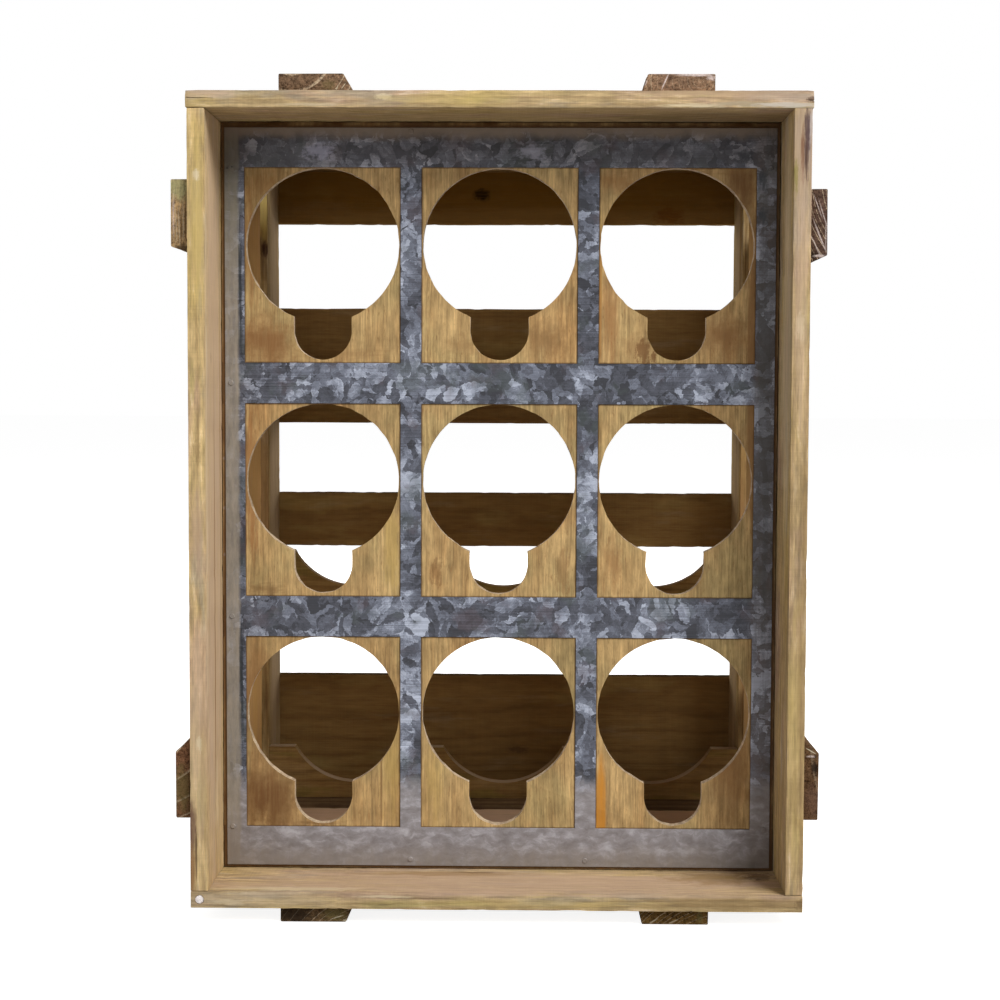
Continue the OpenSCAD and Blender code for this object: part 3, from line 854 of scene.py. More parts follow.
def end_split(start, tip_x, tip_z, width, depth):
    """A cutter for a split in the end of a board: a thin wedge that narrows along the board."""
    x, y, z = start
    low = Vector((min(x, tip_x), y - 2 * OVERCUT, z - width / 2))
    high = Vector((max(x, tip_x), y + depth, z + width / 2))
    wedge = block("split", low, high)
    pick(wedge, "VERT", lambda v: abs(v.co.x - tip_x) < TOUCH)
    bpy.ops.transform.resize(value=(1, 1, 0.15), center_override=Vector((tip_x, y, z)))
    bpy.ops.transform.translate(value=(0, 0, tip_z - z))
    return finish_edit(wedge)


class CRATE_OT_front_boards(bpy.types.Operator):
    """Build the four front boards, whose edges make the rim."""

    bl_idname = "crate.front_boards"
    bl_label = "Front boards"

    def execute(self, context):
        sizes, colours = chosen(context.scene)
        marks = rim_marks(colours)
        for node, (grain, pith, light) in FRONT_BOARDS.items():
            splits = self.end_splits(node) if node == "top_front_board" else ()
            piece = plank(node, grain, sizes, sizes.edge_round, sizes.wander, sizes.nick, splits=splits)
            finish = wood("pine_" + node, grain, pith_place(node, grain, pith),
                          tones(colours, "pine_pale", "pine_ring", light=light), 0.0034, ring_share=0.5,
                          contrast=1.5, patches=rim_patches(colours, light), marks=marks[node])
            stand_for(dress(piece, finish), "board_pine", node)
        return {"FINISHED"}

    def end_splits(self, node):
        """A fine split at the left end and a wide one at the right."""
        low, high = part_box(node)
        return (end_split((low.x - OVERCUT, low.y, 0.4421), -0.1505, 0.4417, 0.00028, 0.0012),
                end_split((high.x + OVERCUT, low.y, 0.4408), 0.1612, 0.4412, 0.0007, 0.006))


class CRATE_OT_rear_boards(bpy.types.Operator):
    """Build the four rear boards behind the gap."""

    bl_idname = "crate.rear_boards"
    bl_label = "Rear boards"

    def execute(self, context):
        sizes, colours = chosen(context.scene)
        pale = tuple(0.4 * a + 0.6 * b for a, b in zip(colours.pine_pale, colours.aged_pale))
        yellow, grey = tones(colours, "pine_yellow", "pine_grey")
        for node, (grain, pith) in REAR_BOARDS.items():
            piece = plank(node, grain, sizes, sizes.edge_round, sizes.wander, sizes.nick)
            finish = wood("pine_" + node, grain, pith_place(node, grain, pith),
                          (pale, tuple(colours.aged_ring)), 0.0031, ring_share=0.6, contrast=1.4,
                          patches=((yellow, "Cloud", 0.55, 0.75, 0.7), (grey, "Patch", 0.5, 0.7, 0.4)),
                          marks=self.marks(node, colours))
            stand_for(dress(piece, finish), "aged_pine", node)
        return {"FINISHED"}

    def marks(self, node, colours):
        yellow, brown, worn = (0.66, 0.5, 0.17), (0.26, 0.135, 0.055), (0.46, 0.345, 0.225)
        stain_and_shade = tuple(colours.stain_and_shade)
        return {
            "left_rear_board": (
                (worn, (-0.155, 0.12, 0.23), (0.003, 0.028, 0.5), 0.75, 0.4),
                (brown, (-0.158, 0.088, 0.2), (0.009, 0.004, 0.16), 0.8, 0.4),
                # Painted light on the front edge of the rear board, where light comes through the gap
                (yellow, (-0.158, REAR, 0.403), (0.006, 0.003, 0.023), 0.95, 0.3),
                (stain_and_shade, (-0.157, 0.0865, 0.38), (0.0035, 0.006, 0.007), 0.95, 0.4),
            ),
            "right_rear_board": (
                (worn, (0.155, 0.12, 0.23), (0.003, 0.028, 0.5), 0.5, 0.4),
                (brown, (0.158, 0.088, 0.2), (0.009, 0.004, 0.19), 0.8, 0.4),
            ),
            "floor_rear_board": (
                # Painted shade on the front edge of the rear floor board, below the rails
                (stain_and_shade, (0.0, REAR, 0.015), (0.3, 0.02, 0.012), 0.8, 0.3),
            ),
        }.get(node, ())


class CRATE_OT_battens(bpy.types.Operator):
    """Build the eight weathered battens outside the boards."""

    bl_idname = "crate.battens"
    bl_label = "Battens"

    def execute(self, context):
        sizes, colours = chosen(context.scene)
        for node, (pith, ring_mm, clear, light) in BATTENS.items():
            piece = plank(node, "Y", sizes, sizes.batten_round, 2 * sizes.wander, 1.6 * sizes.nick,
                          lambda blank, node=node: self.slant(blank, node))
            dark, pore, stain_and_shade = tones(colours, "batten_dark", "batten_pore", "stain_and_shade", light=light)
            finish = wood("weathered_" + node, "Y", pith_place(node, "Y", pith),
                          (dark, tuple(colours.batten_ring)), ring_mm / 1000, ring_share=clear, waver=0.004,
                          ring_line=(0.72, 0.98), contrast=2.0, relief_depth=0.0006, saw_share=0.5,
                          patches=((pore, "Mottle", 0.46, 0.3, 0.4), (pore, "Fibre", 0.5, 0.38, 0.7),
                                   (stain_and_shade, "Cloud", 0.5, 0.72, 0.5)),
                          marks=self.weathering(node, colours))
            stand_for(dress(piece, finish), "weathered_batten", node)
        return {"FINISHED"}

    def slant(self, blank, node):
        """Draws in the side of a batten whose outer face is narrower than its inner one."""
        low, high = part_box(node)
        thin = 0 if high.x - low.x < high.z - low.z else 2
        wide = 2 - thin
        outer = high[thin] if (low[thin] + high[thin]) / 2 > CENTRE[thin] else low[thin]
        reach = [v.co[wide] for v in frame["nodes"][node].data.vertices if abs(v.co[thin] - outer) < TOUCH]
        for was, now in ((low[wide], min(reach)), (high[wide], max(reach))):
            pick(blank, "VERT", lambda v: abs(v.co[thin] - outer) < TOUCH and abs(v.co[wide] - was) < TOUCH)
            shift = Vector((0, 0, 0))
            shift[wide] = now - was
            bpy.ops.transform.translate(value=shift)
            finish_edit(blank)

    def weathering(self, node, colours):
        lichen, pink, olive = (0.44, 0.42, 0.21), (0.72, 0.6, 0.56), (0.15, 0.12, 0.045)
        black, rose, fawn = (0.016, 0.011, 0.009), (0.165, 0.09, 0.066), (0.55, 0.43, 0.29)
        peat, scuff = (0.09, 0.052, 0.024), tuple(colours.scuff)
        return {
            "top_left_batten": (
                (scuff, (-0.0822, BATTEN, 0.4487), (0.0003, 0.01, 0.0026), 0.9, 0.2, 38),
                (scuff, (-0.0856, BATTEN, 0.4476), (0.0004, 0.01, 0.0014), 0.8, 0.3, 20),
                (olive, (-0.09, BATTEN, 0.449), (0.005, 0.01, 0.004), 0.5, 0.5),
            ),
            "top_right_batten": (
                (pink, (0.0876, BATTEN, 0.451), (0.0005, 0.01, 0.0062), 1.0, 0.25, 24),
                (pink, (0.1035, BATTEN, 0.4547), (0.012, 0.01, 0.001), 1.0, 0.4),
                (pink, (0.112, BATTEN, 0.453), (0.003, 0.01, 0.0016), 0.8, 0.7),
                (pink, (0.0776, BATTEN, 0.4505), (0.0005, 0.01, 0.0022), 0.8, 0.4, 24),
                (pink, (0.1145, BATTEN, 0.45), (0.0006, 0.01, 0.004), 0.7, 0.5),
            ),
            "left_upper_batten": (
                (lichen, (-0.17, BATTEN, 0.395), (0.008, 0.02, 0.009), 0.85, 0.4),
                (pink, (-0.1728, BATTEN, 0.38), (0.0007, 0.02, 0.015), 0.5, 0.6),
                (black, (-0.1655, BATTEN, 0.39), (0.0006, 0.02, 0.008), 0.8, 0.5),
                (black, (-0.168, BATTEN, 0.363), (0.005, 0.02, 0.003), 0.8, 0.5),
                (fawn, (-0.1714, BATTEN, 0.376), (0.0004, 0.02, 0.013), 0.9, 0.3, -3),
                (fawn, (-0.1698, BATTEN, 0.374), (0.0004, 0.02, 0.013), 0.9, 0.3, -2),
                (fawn, (-0.1675, BATTEN, 0.377), (0.0005, 0.02, 0.012), 0.8, 0.4),
                (peat, (-0.1687, BATTEN, 0.374), (0.0006, 0.02, 0.012), 0.8, 0.4),
                (peat, (-0.1664, BATTEN, 0.378), (0.0006, 0.02, 0.014), 0.8, 0.4),
            ),
            "left_lower_batten": (
                (olive, (-0.17, BATTEN, 0.072), (0.008, 0.02, 0.017), 0.65, 0.5),
                (black, (-0.1658, BATTEN, 0.07), (0.0006, 0.02, 0.01), 0.7, 0.6),
            ),
            "right_upper_batten": (
                (black, (0.1665, BATTEN, 0.36), (0.003, 0.02, 0.003), 0.8, 0.5),
                (pink, (0.1703, BATTEN, 0.37), (0.0006, 0.02, 0.012), 0.7, 0.6, -22),
                (pink, (0.1682, BATTEN, 0.365), (0.0005, 0.02, 0.008), 0.7, 0.6, -26),
                (pink, (0.1724, BATTEN, 0.38), (0.0004, 0.02, 0.012), 0.6, 0.6, -18),
                (pink, (0.169, BATTEN, 0.386), (0.0004, 0.02, 0.008), 0.6, 0.6, -20),
                (pink, (0.17, BATTEN, 0.36), (0.004, 0.02, 0.001), 0.8, 0.7),
                (pink, (0.1733, BATTEN, 0.37), (0.0005, 0.02, 0.01), 0.5, 0.5),
            ),
            "right_lower_batten": (
                (scuff, (0.169, BATTEN, 0.0955), (0.0042, 0.01, 0.0004), 0.9, 0.2, 30),
                (pink, (0.169, BATTEN, 0.0925), (0.003, 0.01, 0.0008), 0.7, 0.5),
                (black, (0.1712, BATTEN, 0.086), (0.0026, 0.02, 0.0042), 0.95, 0.5),
                (rose, (0.17, BATTEN, 0.068), (0.006, 0.02, 0.012), 0.45, 0.5),
            ),
            "bottom_left_batten": (
                (black, (-0.11, BATTEN, 0.004), (0.014, 0.02, 0.008), 0.85, 0.5),
                (olive, (-0.087, BATTEN, 0.0045), (0.009, 0.02, 0.005), 0.75, 0.5),
                (scuff, (-0.086, BATTEN, 0.0029), (0.0046, 0.01, 0.0004), 0.8, 0.3, -18),
                (scuff, (-0.0815, BATTEN, 0.001), (0.0018, 0.01, 0.0012), 0.6, 0.6),
            ),
            "bottom_right_batten": (
                (olive, (0.1103, BATTEN, 0.004), (0.0022, 0.02, 0.004), 0.8, 0.5),
                (scuff, (0.096, BATTEN, 0.002), (0.004, 0.01, 0.0005), 0.5, 0.5, -25),
                (scuff, (0.085, BATTEN, 0.002), (0.004, 0.01, 0.0005), 0.5, 0.5, -32),
            ),
        }.get(node, ())


class CRATE_OT_back_slats(bpy.types.Operator):
    """Build the four rough slats across the back."""

    bl_idname = "crate.back_slats"
    bl_label = "Back slats"

    def execute(self, context):
        sizes, colours = chosen(context.scene)
        pale, ring, grey, yellow = tones(colours, "aged_pale", "aged_ring", "pine_grey", "pine_yellow")
        for node, (grain, pith) in SLATS.items():
            piece = plank(node, grain, sizes, sizes.edge_round, 1.6 * sizes.wander, 1.2 * sizes.nick)
            # The dark colour over the slats' upper sides is painted shade
            finish = wood("aged_" + node, grain, pith_place(node, grain, pith), (pale, ring), 0.0042,
                          ring_share=0.45, contrast=0.7, relief_depth=0.0003,
                          patches=((yellow, "Cloud", 0.52, 0.72, 0.35), (grey, "Patch", 0.55, 0.72, 0.2)),
                          marks=self.knots(node, colours), painted_top_shading=((0.05, 0.03, 0.015), 0.85))
            stand_for(dress(piece, finish), "aged_pine", node)
        return {"FINISHED"}

    def knots(self, node, colours):
        return {
            "back_slat_top": (
                ((0.215, 0.105, 0.012), (0.0, SLAT, 0.43), (0.3, 0.004, 0.06), 0.85, 0.3),
                ((0.33, 0.2, 0.07), (0.03, SLAT, 0.406), (0.3, 0.01, 0.0085), 0.6, 0.5),
                ((0.19, 0.075, 0.012), (0.112, SLAT, 0.4075), (0.013, 0.01, 0.007), 0.8, 0.6),
                ((0.012, 0.006, 0.003), (-0.0165, SLAT, 0.4217), (0.0075, 0.01, 0.0055), 0.95, 0.35),
            ),
            "back_slat_bottom": (
                (tuple(colours.stain_and_shade), (0.0098, SLAT, 0.0392), (0.01, 0.01, 0.003), 0.6, 0.5),
            ),
        }.get(node, ())


class CRATE_OT_cleats(bpy.types.Operator):
    """Build the four cleats behind the panel."""

    bl_idname = "crate.cleats"
    bl_label = "Cleats"

    def execute(self, context):
        sizes, colours = chosen(context.scene)
        for node, (grain, pith) in CLEATS.items():
            piece = plank(node, grain, sizes, sizes.edge_round, sizes.wander, sizes.nick)
            finish = wood("pine_" + node, grain, pith_place(node, grain, pith),
                          tones(colours, "pine_pale", "pine_ring"), 0.0022,
                          patches=((tuple(colours.aged_pale), "Cloud", 0.45, 0.7, 0.7),))
            stand_for(dress(piece, finish), "cleat_pine", node)
        return {"FINISHED"}


def column_places(sizes):
    return [(i - (sizes.columns - 1) / 2) * sizes.column_pitch for i in range(sizes.columns)]


def row_places(sizes):
    return [sizes.low_hole_z + i * sizes.row_pitch for i in range(sizes.rows)]


def window_reach(sizes):
    """How far a window of the sheet reaches sideways, up and down from the centre of its hole."""
    hole_r = sizes.hole_d / 2
    return (hole_r + sizes.window_side, hole_r + sizes.window_head,
            hole_r + sizes.notch_reach + sizes.window_foot)


class CRATE_OT_cradles(bpy.types.Operator):
    """Build the three rails with a hollow behind each hole of the panel."""

    bl_idname = "crate.cradles"
    bl_label = "Cradle rails"

    def execute(self, context):
        sizes, colours = chosen(context.scene)
        radius = sizes.hole_d / 2 + sizes.cradle_ease
        for node, (grain, pith) in CRADLES.items():
            low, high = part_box(node)
            piece = block(node + "_wood", low, high)
            axis_z = high.z - sizes.cradle_sag + radius
            depth = high.y - low.y + 2 * OVERCUT
            cut_away(piece, [rod("hollow", (x, low.y - OVERCUT, axis_z), "Y", radius, depth, 96)
                             for x in column_places(sizes)])
            round_edges(piece, 0.6 * sizes.edge_round, angle=40)
            cut_away(piece, nail_pockets(low, high, sizes.pocket_play))
            smooth(wear(piece, 0.5 * sizes.wander, 0.4 * sizes.nick))
            # The pale colour over the rails' upper sides and hollows is painted light
            finish = wood("aged_" + node, grain, pith_place(node, grain, pith),
                          tones(colours, "aged_pale", "aged_ring"), 0.003, ring_share=0.5, saw_share=0.1,
                          patches=((tuple(colours.pine_ring), "Cloud", 0.5, 0.7, 0.5),
                                   ((0.23, 0.165, 0.045), "Patch", 0.5, 0.4, 0.6)),
                          painted_top_shading=((0.46, 0.34, 0.235), 0.75))
            stand_for(dress(piece, finish), "aged_pine", node)
        return {"FINISHED"}


def veneer_marks():
    """Marks on the panel, stained and pale; some dark ones near the top and the right are painted shade."""
    brown, russet, umber = (0.235, 0.118, 0.046), (0.29, 0.125, 0.042), (0.14, 0.06, 0.022)
    gold = (0.5, 0.34, 0.11)
    return (
        (russet, (-0.13, PANEL, 0.4), (0.013, 0.01, 0.022), 0.55, 0.6),
        (russet, (-0.139, PANEL, 0.365), (0.006, 0.01, 0.045), 0.8, 0.6),
        (brown, (-0.13, PANEL, 0.314), (0.026, 0.01, 0.022), 1.0, 0.5),
        (brown, (-0.09, PANEL, 0.308), (0.04, 0.01, 0.006), 0.4, 0.8),
        (brown, (-0.02, PANEL, 0.312), (0.014, 0.01, 0.01), 0.5, 0.7),
        (brown, (0.026, PANEL, 0.315), (0.016, 0.01, 0.016), 0.65, 0.6),
        (russet, (0.062, PANEL, 0.325), (0.007, 0.01, 0.045), 0.65, 0.6),
        (brown, (0.08, PANEL, 0.312), (0.018, 0.01, 0.012), 0.5, 0.7),
        (umber, (0.08, PANEL, 0.31), (0.005, 0.01, 0.009), 0.75, 0.9),
        (umber, (0.086, PANEL, 0.307), (0.002, 0.01, 0.004), 0.85, 0.7),
        # Painted shade by the right wall and under the top board, in the top right window
        (brown, (0.125, PANEL, 0.318), (0.02, 0.01, 0.02), 0.85, 0.5),
        ((0.17, 0.086, 0.034), (0.134, PANEL, 0.402), (0.015, 0.01, 0.028), 1.0, 0.4),
        (brown, (0.14, PANEL, 0.372), (0.006, 0.01, 0.04), 0.6, 0.5),
        (russet, (0.064, PANEL, 0.404), (0.016, 0.01, 0.01), 0.6, 0.5),
        # Painted shade under the top board
        (brown, (0.098, PANEL, 0.414), (0.05, 0.01, 0.008), 0.9, 0.6),
        (brown, (-0.01, PANEL, 0.415), (0.046, 0.01, 0.004), 0.4, 0.7),
        (russet, (-0.139, PANEL, 0.235), (0.005, 0.01, 0.05), 0.7, 0.7),
        (umber, (-0.13, PANEL, 0.176), (0.014, 0.01, 0.005), 0.5, 0.8),
        (gold, (-0.06, PANEL, 0.2), (0.005, 0.01, 0.03), 0.6, 0.6),
        (umber, (-0.035, PANEL, 0.186), (0.004, 0.01, 0.01), 0.5, 0.9),
        (brown, (0.036, PANEL, 0.186), (0.005, 0.01, 0.016), 0.5, 0.9),
        (russet, (0.064, PANEL, 0.19), (0.008, 0.01, 0.022), 0.5, 0.8),
        (brown, (-0.138, PANEL, 0.115), (0.014, 0.01, 0.055), 0.85, 0.35),
        ((0.185, 0.096, 0.038), (-0.129, PANEL, 0.056), (0.029, 0.01, 0.036), 1.0, 0.5),
        (umber, (-0.129, PANEL, 0.06), (0.018, 0.01, 0.026), 0.3, 0.9),
        (umber, (-0.134, PANEL, 0.052), (0.006, 0.01, 0.012), 0.55, 0.9),
        (umber, (-0.1, PANEL, 0.0432), (0.018, 0.01, 0.0022), 0.6, 0.8),
        (gold, (-0.06, PANEL, 0.075), (0.008, 0.01, 0.045), 0.6, 0.6),
        (umber, (-0.066, PANEL, 0.07), (0.0004, 0.01, 0.04), 0.8, 0.2),
        (gold, (-0.036, PANEL, 0.065), (0.008, 0.01, 0.035), 0.5, 0.7),
        ((0.56, 0.235, 0.032), (0.0582, PANEL, 0.046), (0.0038, 0.01, 0.046), 0.95, 0.12),
        # Painted shadow low in the bottom right window, and painted shade down the right side of the right
        # column
        (brown, (0.13, PANEL, 0.075), (0.018, 0.01, 0.045), 0.75, 0.5),
        (brown, (0.1412, PANEL, 0.29), (0.0045, 0.01, 0.11), 0.85, 0.4),
        (gold, (0.0562, PANEL, 0.36), (0.0012, 0.01, 0.03), 0.7, 0.5),
        ((0.4, 0.19, 0.055), (0.056, PANEL, 0.34), (0.0012, 0.01, 0.045), 0.8, 0.5),
    )


def veneer(colours, sizes):
    """Honey veneer with upright grain, brown flecks, olive patches, stained places and painted shade."""
    finish, recipe, shader = new_finish("plywood_veneer")
    pale, dark, olive = tones(colours, "ply_pale", "ply_dark", "ply_olive")
    place = recipe.place()
    sway = recipe.push(recipe.field(place, (18, 18, 5), 2.0, 0.5, colours=True), 0.008)
    upright = recipe.vector("ADD", place, sway)
    broad = recipe.field(upright, (85, 10, 6), 4.0, 0.6)
    streak = recipe.field(upright, (300, 40, 9), 3.0, 0.6)
    fibre = recipe.field(upright, (900, 60, 45), 3.0, 0.65)
    dash = recipe.band(recipe.field(upright, (800, 90, 150), 3.0, 0.7), 0.57, 0.7)
    fleck = recipe.band(recipe.field(upright, (420, 60, 70), 4.0, 0.7), 0.6, 0.74)
    patch = recipe.field(place, (24, 24, 15), 4.0, 0.6)
    mottle = recipe.field(upright, (190, 60, 75), 4.0, 0.65)
    tone = recipe.tint(pale, dark, broad, 0.42, 0.68, 0.6)
    tone = recipe.tint(tone, olive, patch, 0.48, 0.66, 0.7)
    tone = recipe.tint(tone, (0.42, 0.225, 0.085), patch, 0.44, 0.3, 0.5)
    tone = recipe.vary(tone, streak, 0.3, 0.7, 0.88, 1.1)
    tone = recipe.vary(tone, fibre, 0.25, 0.75, 0.7, 1.24)
    tone = recipe.vary(tone, mottle, 0.25, 0.75, 0.76, 1.22)
    tone = recipe.coat(tone, (0.2, 0.105, 0.04), dash, 0.5)
    tone = recipe.coat(tone, (0.26, 0.105, 0.035), fleck, 0.45)
    broken = recipe.band(fibre, 0.3, 0.6, 0.7, 1.0)
    tone = recipe.marked(tone, place, veneer_marks(), broken, soft=0.9, crisp=0.5)
    for fleck_z in (0.2498, 0.2219, 0.1957):
        chip = recipe.spot(place, (-0.1541, PANEL, fleck_z), (0.0007, 0.01, 0.0014), 0.3)
        tone = recipe.mix(chip, tone, (0.8, 0.74, 0.66))
    # Painted shade on the narrow strips of panel along the sheet's outer edges, darkest under the top board
    parts = recipe.parts(place)
    low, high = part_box("galvanised_grid")
    line = recipe.band(recipe.field(place, (60, 1, 60), 3.0, 0.6, (0.3, 0, 0.1)), 0.35, 0.65, 0.65, 1.0)
    for part, start, end, share, shade in (
            (parts["X"], low.x + 0.0004, low.x - 0.0006, 0.75, (0.15, 0.062, 0.022)),
            (parts["X"], high.x - 0.0004, high.x + 0.0006, 0.9, (0.06, 0.036, 0.02)),
            (parts["Z"], high.z - 0.0004, high.z + 0.0004, 1.0, (0.07, 0.03, 0.008)),
            (parts["Z"], low.z + 0.0004, low.z - 0.0004, 0.8, (0.085, 0.048, 0.026))):
        tone = recipe.coat(tone, shade, recipe.band(part, start, end, 0.0, share), line)
    # Painted shade on the panel at the edges of the sheet's windows, where the sheet stands over it
    side, up, down = window_reach(sizes)
    across = recipe.inside(parts["X"], column_places(sizes)[0], sizes.column_pitch, side)
    upwards = recipe.inside(parts["Z"], sizes.low_hole_z + (up - down) / 2, sizes.row_pitch, (up + down) / 2)
    rim_gap = recipe.sum("MINIMUM", across, upwards)
    ragged = recipe.sum("MULTIPLY_ADD", recipe.centred(mottle), 0.001, rim_gap)
    tone = recipe.tint(tone, (0.1, 0.05, 0.022), ragged, 0.0009, 0.0001, 0.75)
    recipe.surface(shader, {"Base Color": tone, "Roughness": recipe.band(fibre, 0.3, 0.7, 0.75, 0.55),
                            "Specular IOR Level": 0.08},
                   recipe.sum("MULTIPLY_ADD", mottle, 0.6, fibre), 0.00014)
    return finish


def cut_edge(colours, front, back):
    """Cut edge of the plywood: five plies, every second one end grain."""
    finish, recipe, shader = new_finish("plywood_cut_edge")
    edge = tuple(colours.ply_edge)
    place = recipe.place()
    depth = recipe.band(recipe.parts(place)["Y"], front, back)
    plies = ((0.0, (0.6, 0.45, 0.28)), (0.17, (0.33, 0.2, 0.1)), (0.21, (0.42, 0.26, 0.13)),
             (0.38, (0.58, 0.42, 0.25)), (0.42, (0.36, 0.22, 0.11)), (0.6, (0.6, 0.45, 0.28)),
             (0.8, (0.4, 0.25, 0.13)), (0.84, edge))
    ply = recipe.ramp(depth, plies, "CONSTANT")
    grit = recipe.cloud(place, 900.0, 3.0, 0.7)
    worn = recipe.field(place, (160, 30, 160), 4.0, 0.7)
    tone = recipe.mix(0.6, ply, edge)
    tone = recipe.mix(recipe.band(worn, 0.4, 0.62, 0.25, 0.85), tone, (0.33, 0.235, 0.155))
    tone = recipe.vary(tone, grit, 0.3, 0.7, 0.8, 1.12)
    recipe.surface(shader, {"Base Color": tone, "Roughness": 0.85, "Specular IOR Level": 0.02}, grit, 0.0003)
    return finish


class CRATE_OT_bottle_panel(bpy.types.Operator):
    """Saw the plywood panel with its keyholes."""

    bl_idname = "crate.bottle_panel"
    bl_label = "Bottle panel"

    def execute(self, context):
        sizes, colours = chosen(context.scene)
        low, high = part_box("bottle_panel")
        piece = block("bottle_panel_plywood", low, high)
        front, back = low.y - OVERCUT, high.y + OVERCUT
        hole_r, notch_r = sizes.hole_d / 2, sizes.notch_w / 2
        drop = hole_r + sizes.notch_reach - notch_r
        for z in row_places(sizes):
            for x in column_places(sizes):
                cut_away(piece, [rod("hole", (x, front, z), "Y", hole_r, back - front, 128)])
                cut_away(piece, [rod("notch", (x, front, z - drop), "Y", notch_r, back - front, 64)])
                cut_away(piece, [block("slot", (x - notch_r, front, z - drop), (x + notch_r, back, z))])
        round_edges(piece, 0.0003, angle=40)
        saw_wander = wear_pattern("saw_wander", 0.006, 2, ((0.2, 0), (0.8, 1)))
        for way in ("X", "Z"):
            press(piece, saw_wander, 0.0005, mid_level=0.5, direction=way)
        smooth(piece, 30)
        dress(piece, veneer(colours, sizes), cut_edge(colours, low.y, high.y))
        for face in piece.data.polygons:
            face.material_index = 0 if abs(face.normal.y) > 0.95 else 1
        stand_for(piece, "plywood", "bottle_panel")
        return {"FINISHED"}


def sheet_marks():
    """Marks on the sheet, dark and pale; the wide dark ones along the top and the long one down the right
    edge are painted shade.
    """
    return (
        # Painted shade under the top board, at its right end
        ((0.018, 0.019, 0.023), (0.1354, SHEET, 0.4176), (0.006, 0.01, 0.005), 0.85, 0.7),
        ((0.022, 0.026, 0.03), (0.1454, SHEET, 0.405), (0.0035, 0.01, 0.008), 0.8, 0.8),
        ((0.022, 0.026, 0.03), (0.1456, SHEET, 0.385), (0.0035, 0.01, 0.006), 0.8, 0.8),
        ((0.016, 0.021, 0.025), (-0.1448, SHEET, 0.125), (0.0016, 0.01, 0.042), 0.9, 0.8),
        ((0.016, 0.021, 0.025), (-0.1446, SHEET, 0.345), (0.0014, 0.01, 0.05), 0.85, 0.8),
        ((0.012, 0.012, 0.012), (-0.1517, SHEET, 0.4111), (0.0009, 0.01, 0.0006), 0.9, 0.4),
        ((0.012, 0.012, 0.012), (-0.1489, SHEET, 0.4117), (0.001, 0.01, 0.0005), 0.9, 0.4),
        # Painted shade under the top board
        ((0.04, 0.043, 0.045), (-0.13, SHEET, 0.415), (0.015, 0.01, 0.007), 0.6, 0.8),
        # Painted shade down the right edge, by the right wall
        ((0.04, 0.043, 0.043), (0.148, SHEET, 0.27), (0.0065, 0.01, 0.19), 0.45, 0.8),
        # Painted shade under the top board
        ((0.045, 0.043, 0.046), (-0.118, SHEET, 0.416), (0.04, 0.01, 0.013), 0.4, 0.8),
        ((0.33, 0.32, 0.4), (-0.1, SHEET, 0.42), (0.011, 0.01, 0.0065), 0.42, 0.9),
        ((0.33, 0.32, 0.38), (0.018, SHEET, 0.42), (0.01, 0.01, 0.005), 0.35, 0.9),
        # Painted shade under the top board
        ((0.04, 0.036, 0.042), (-0.06, SHEET, 0.418), (0.016, 0.01, 0.008), 0.45, 0.8),
        ((0.04, 0.038, 0.042), (0.1, SHEET, 0.416), (0.05, 0.01, 0.012), 0.35, 0.8),
    )


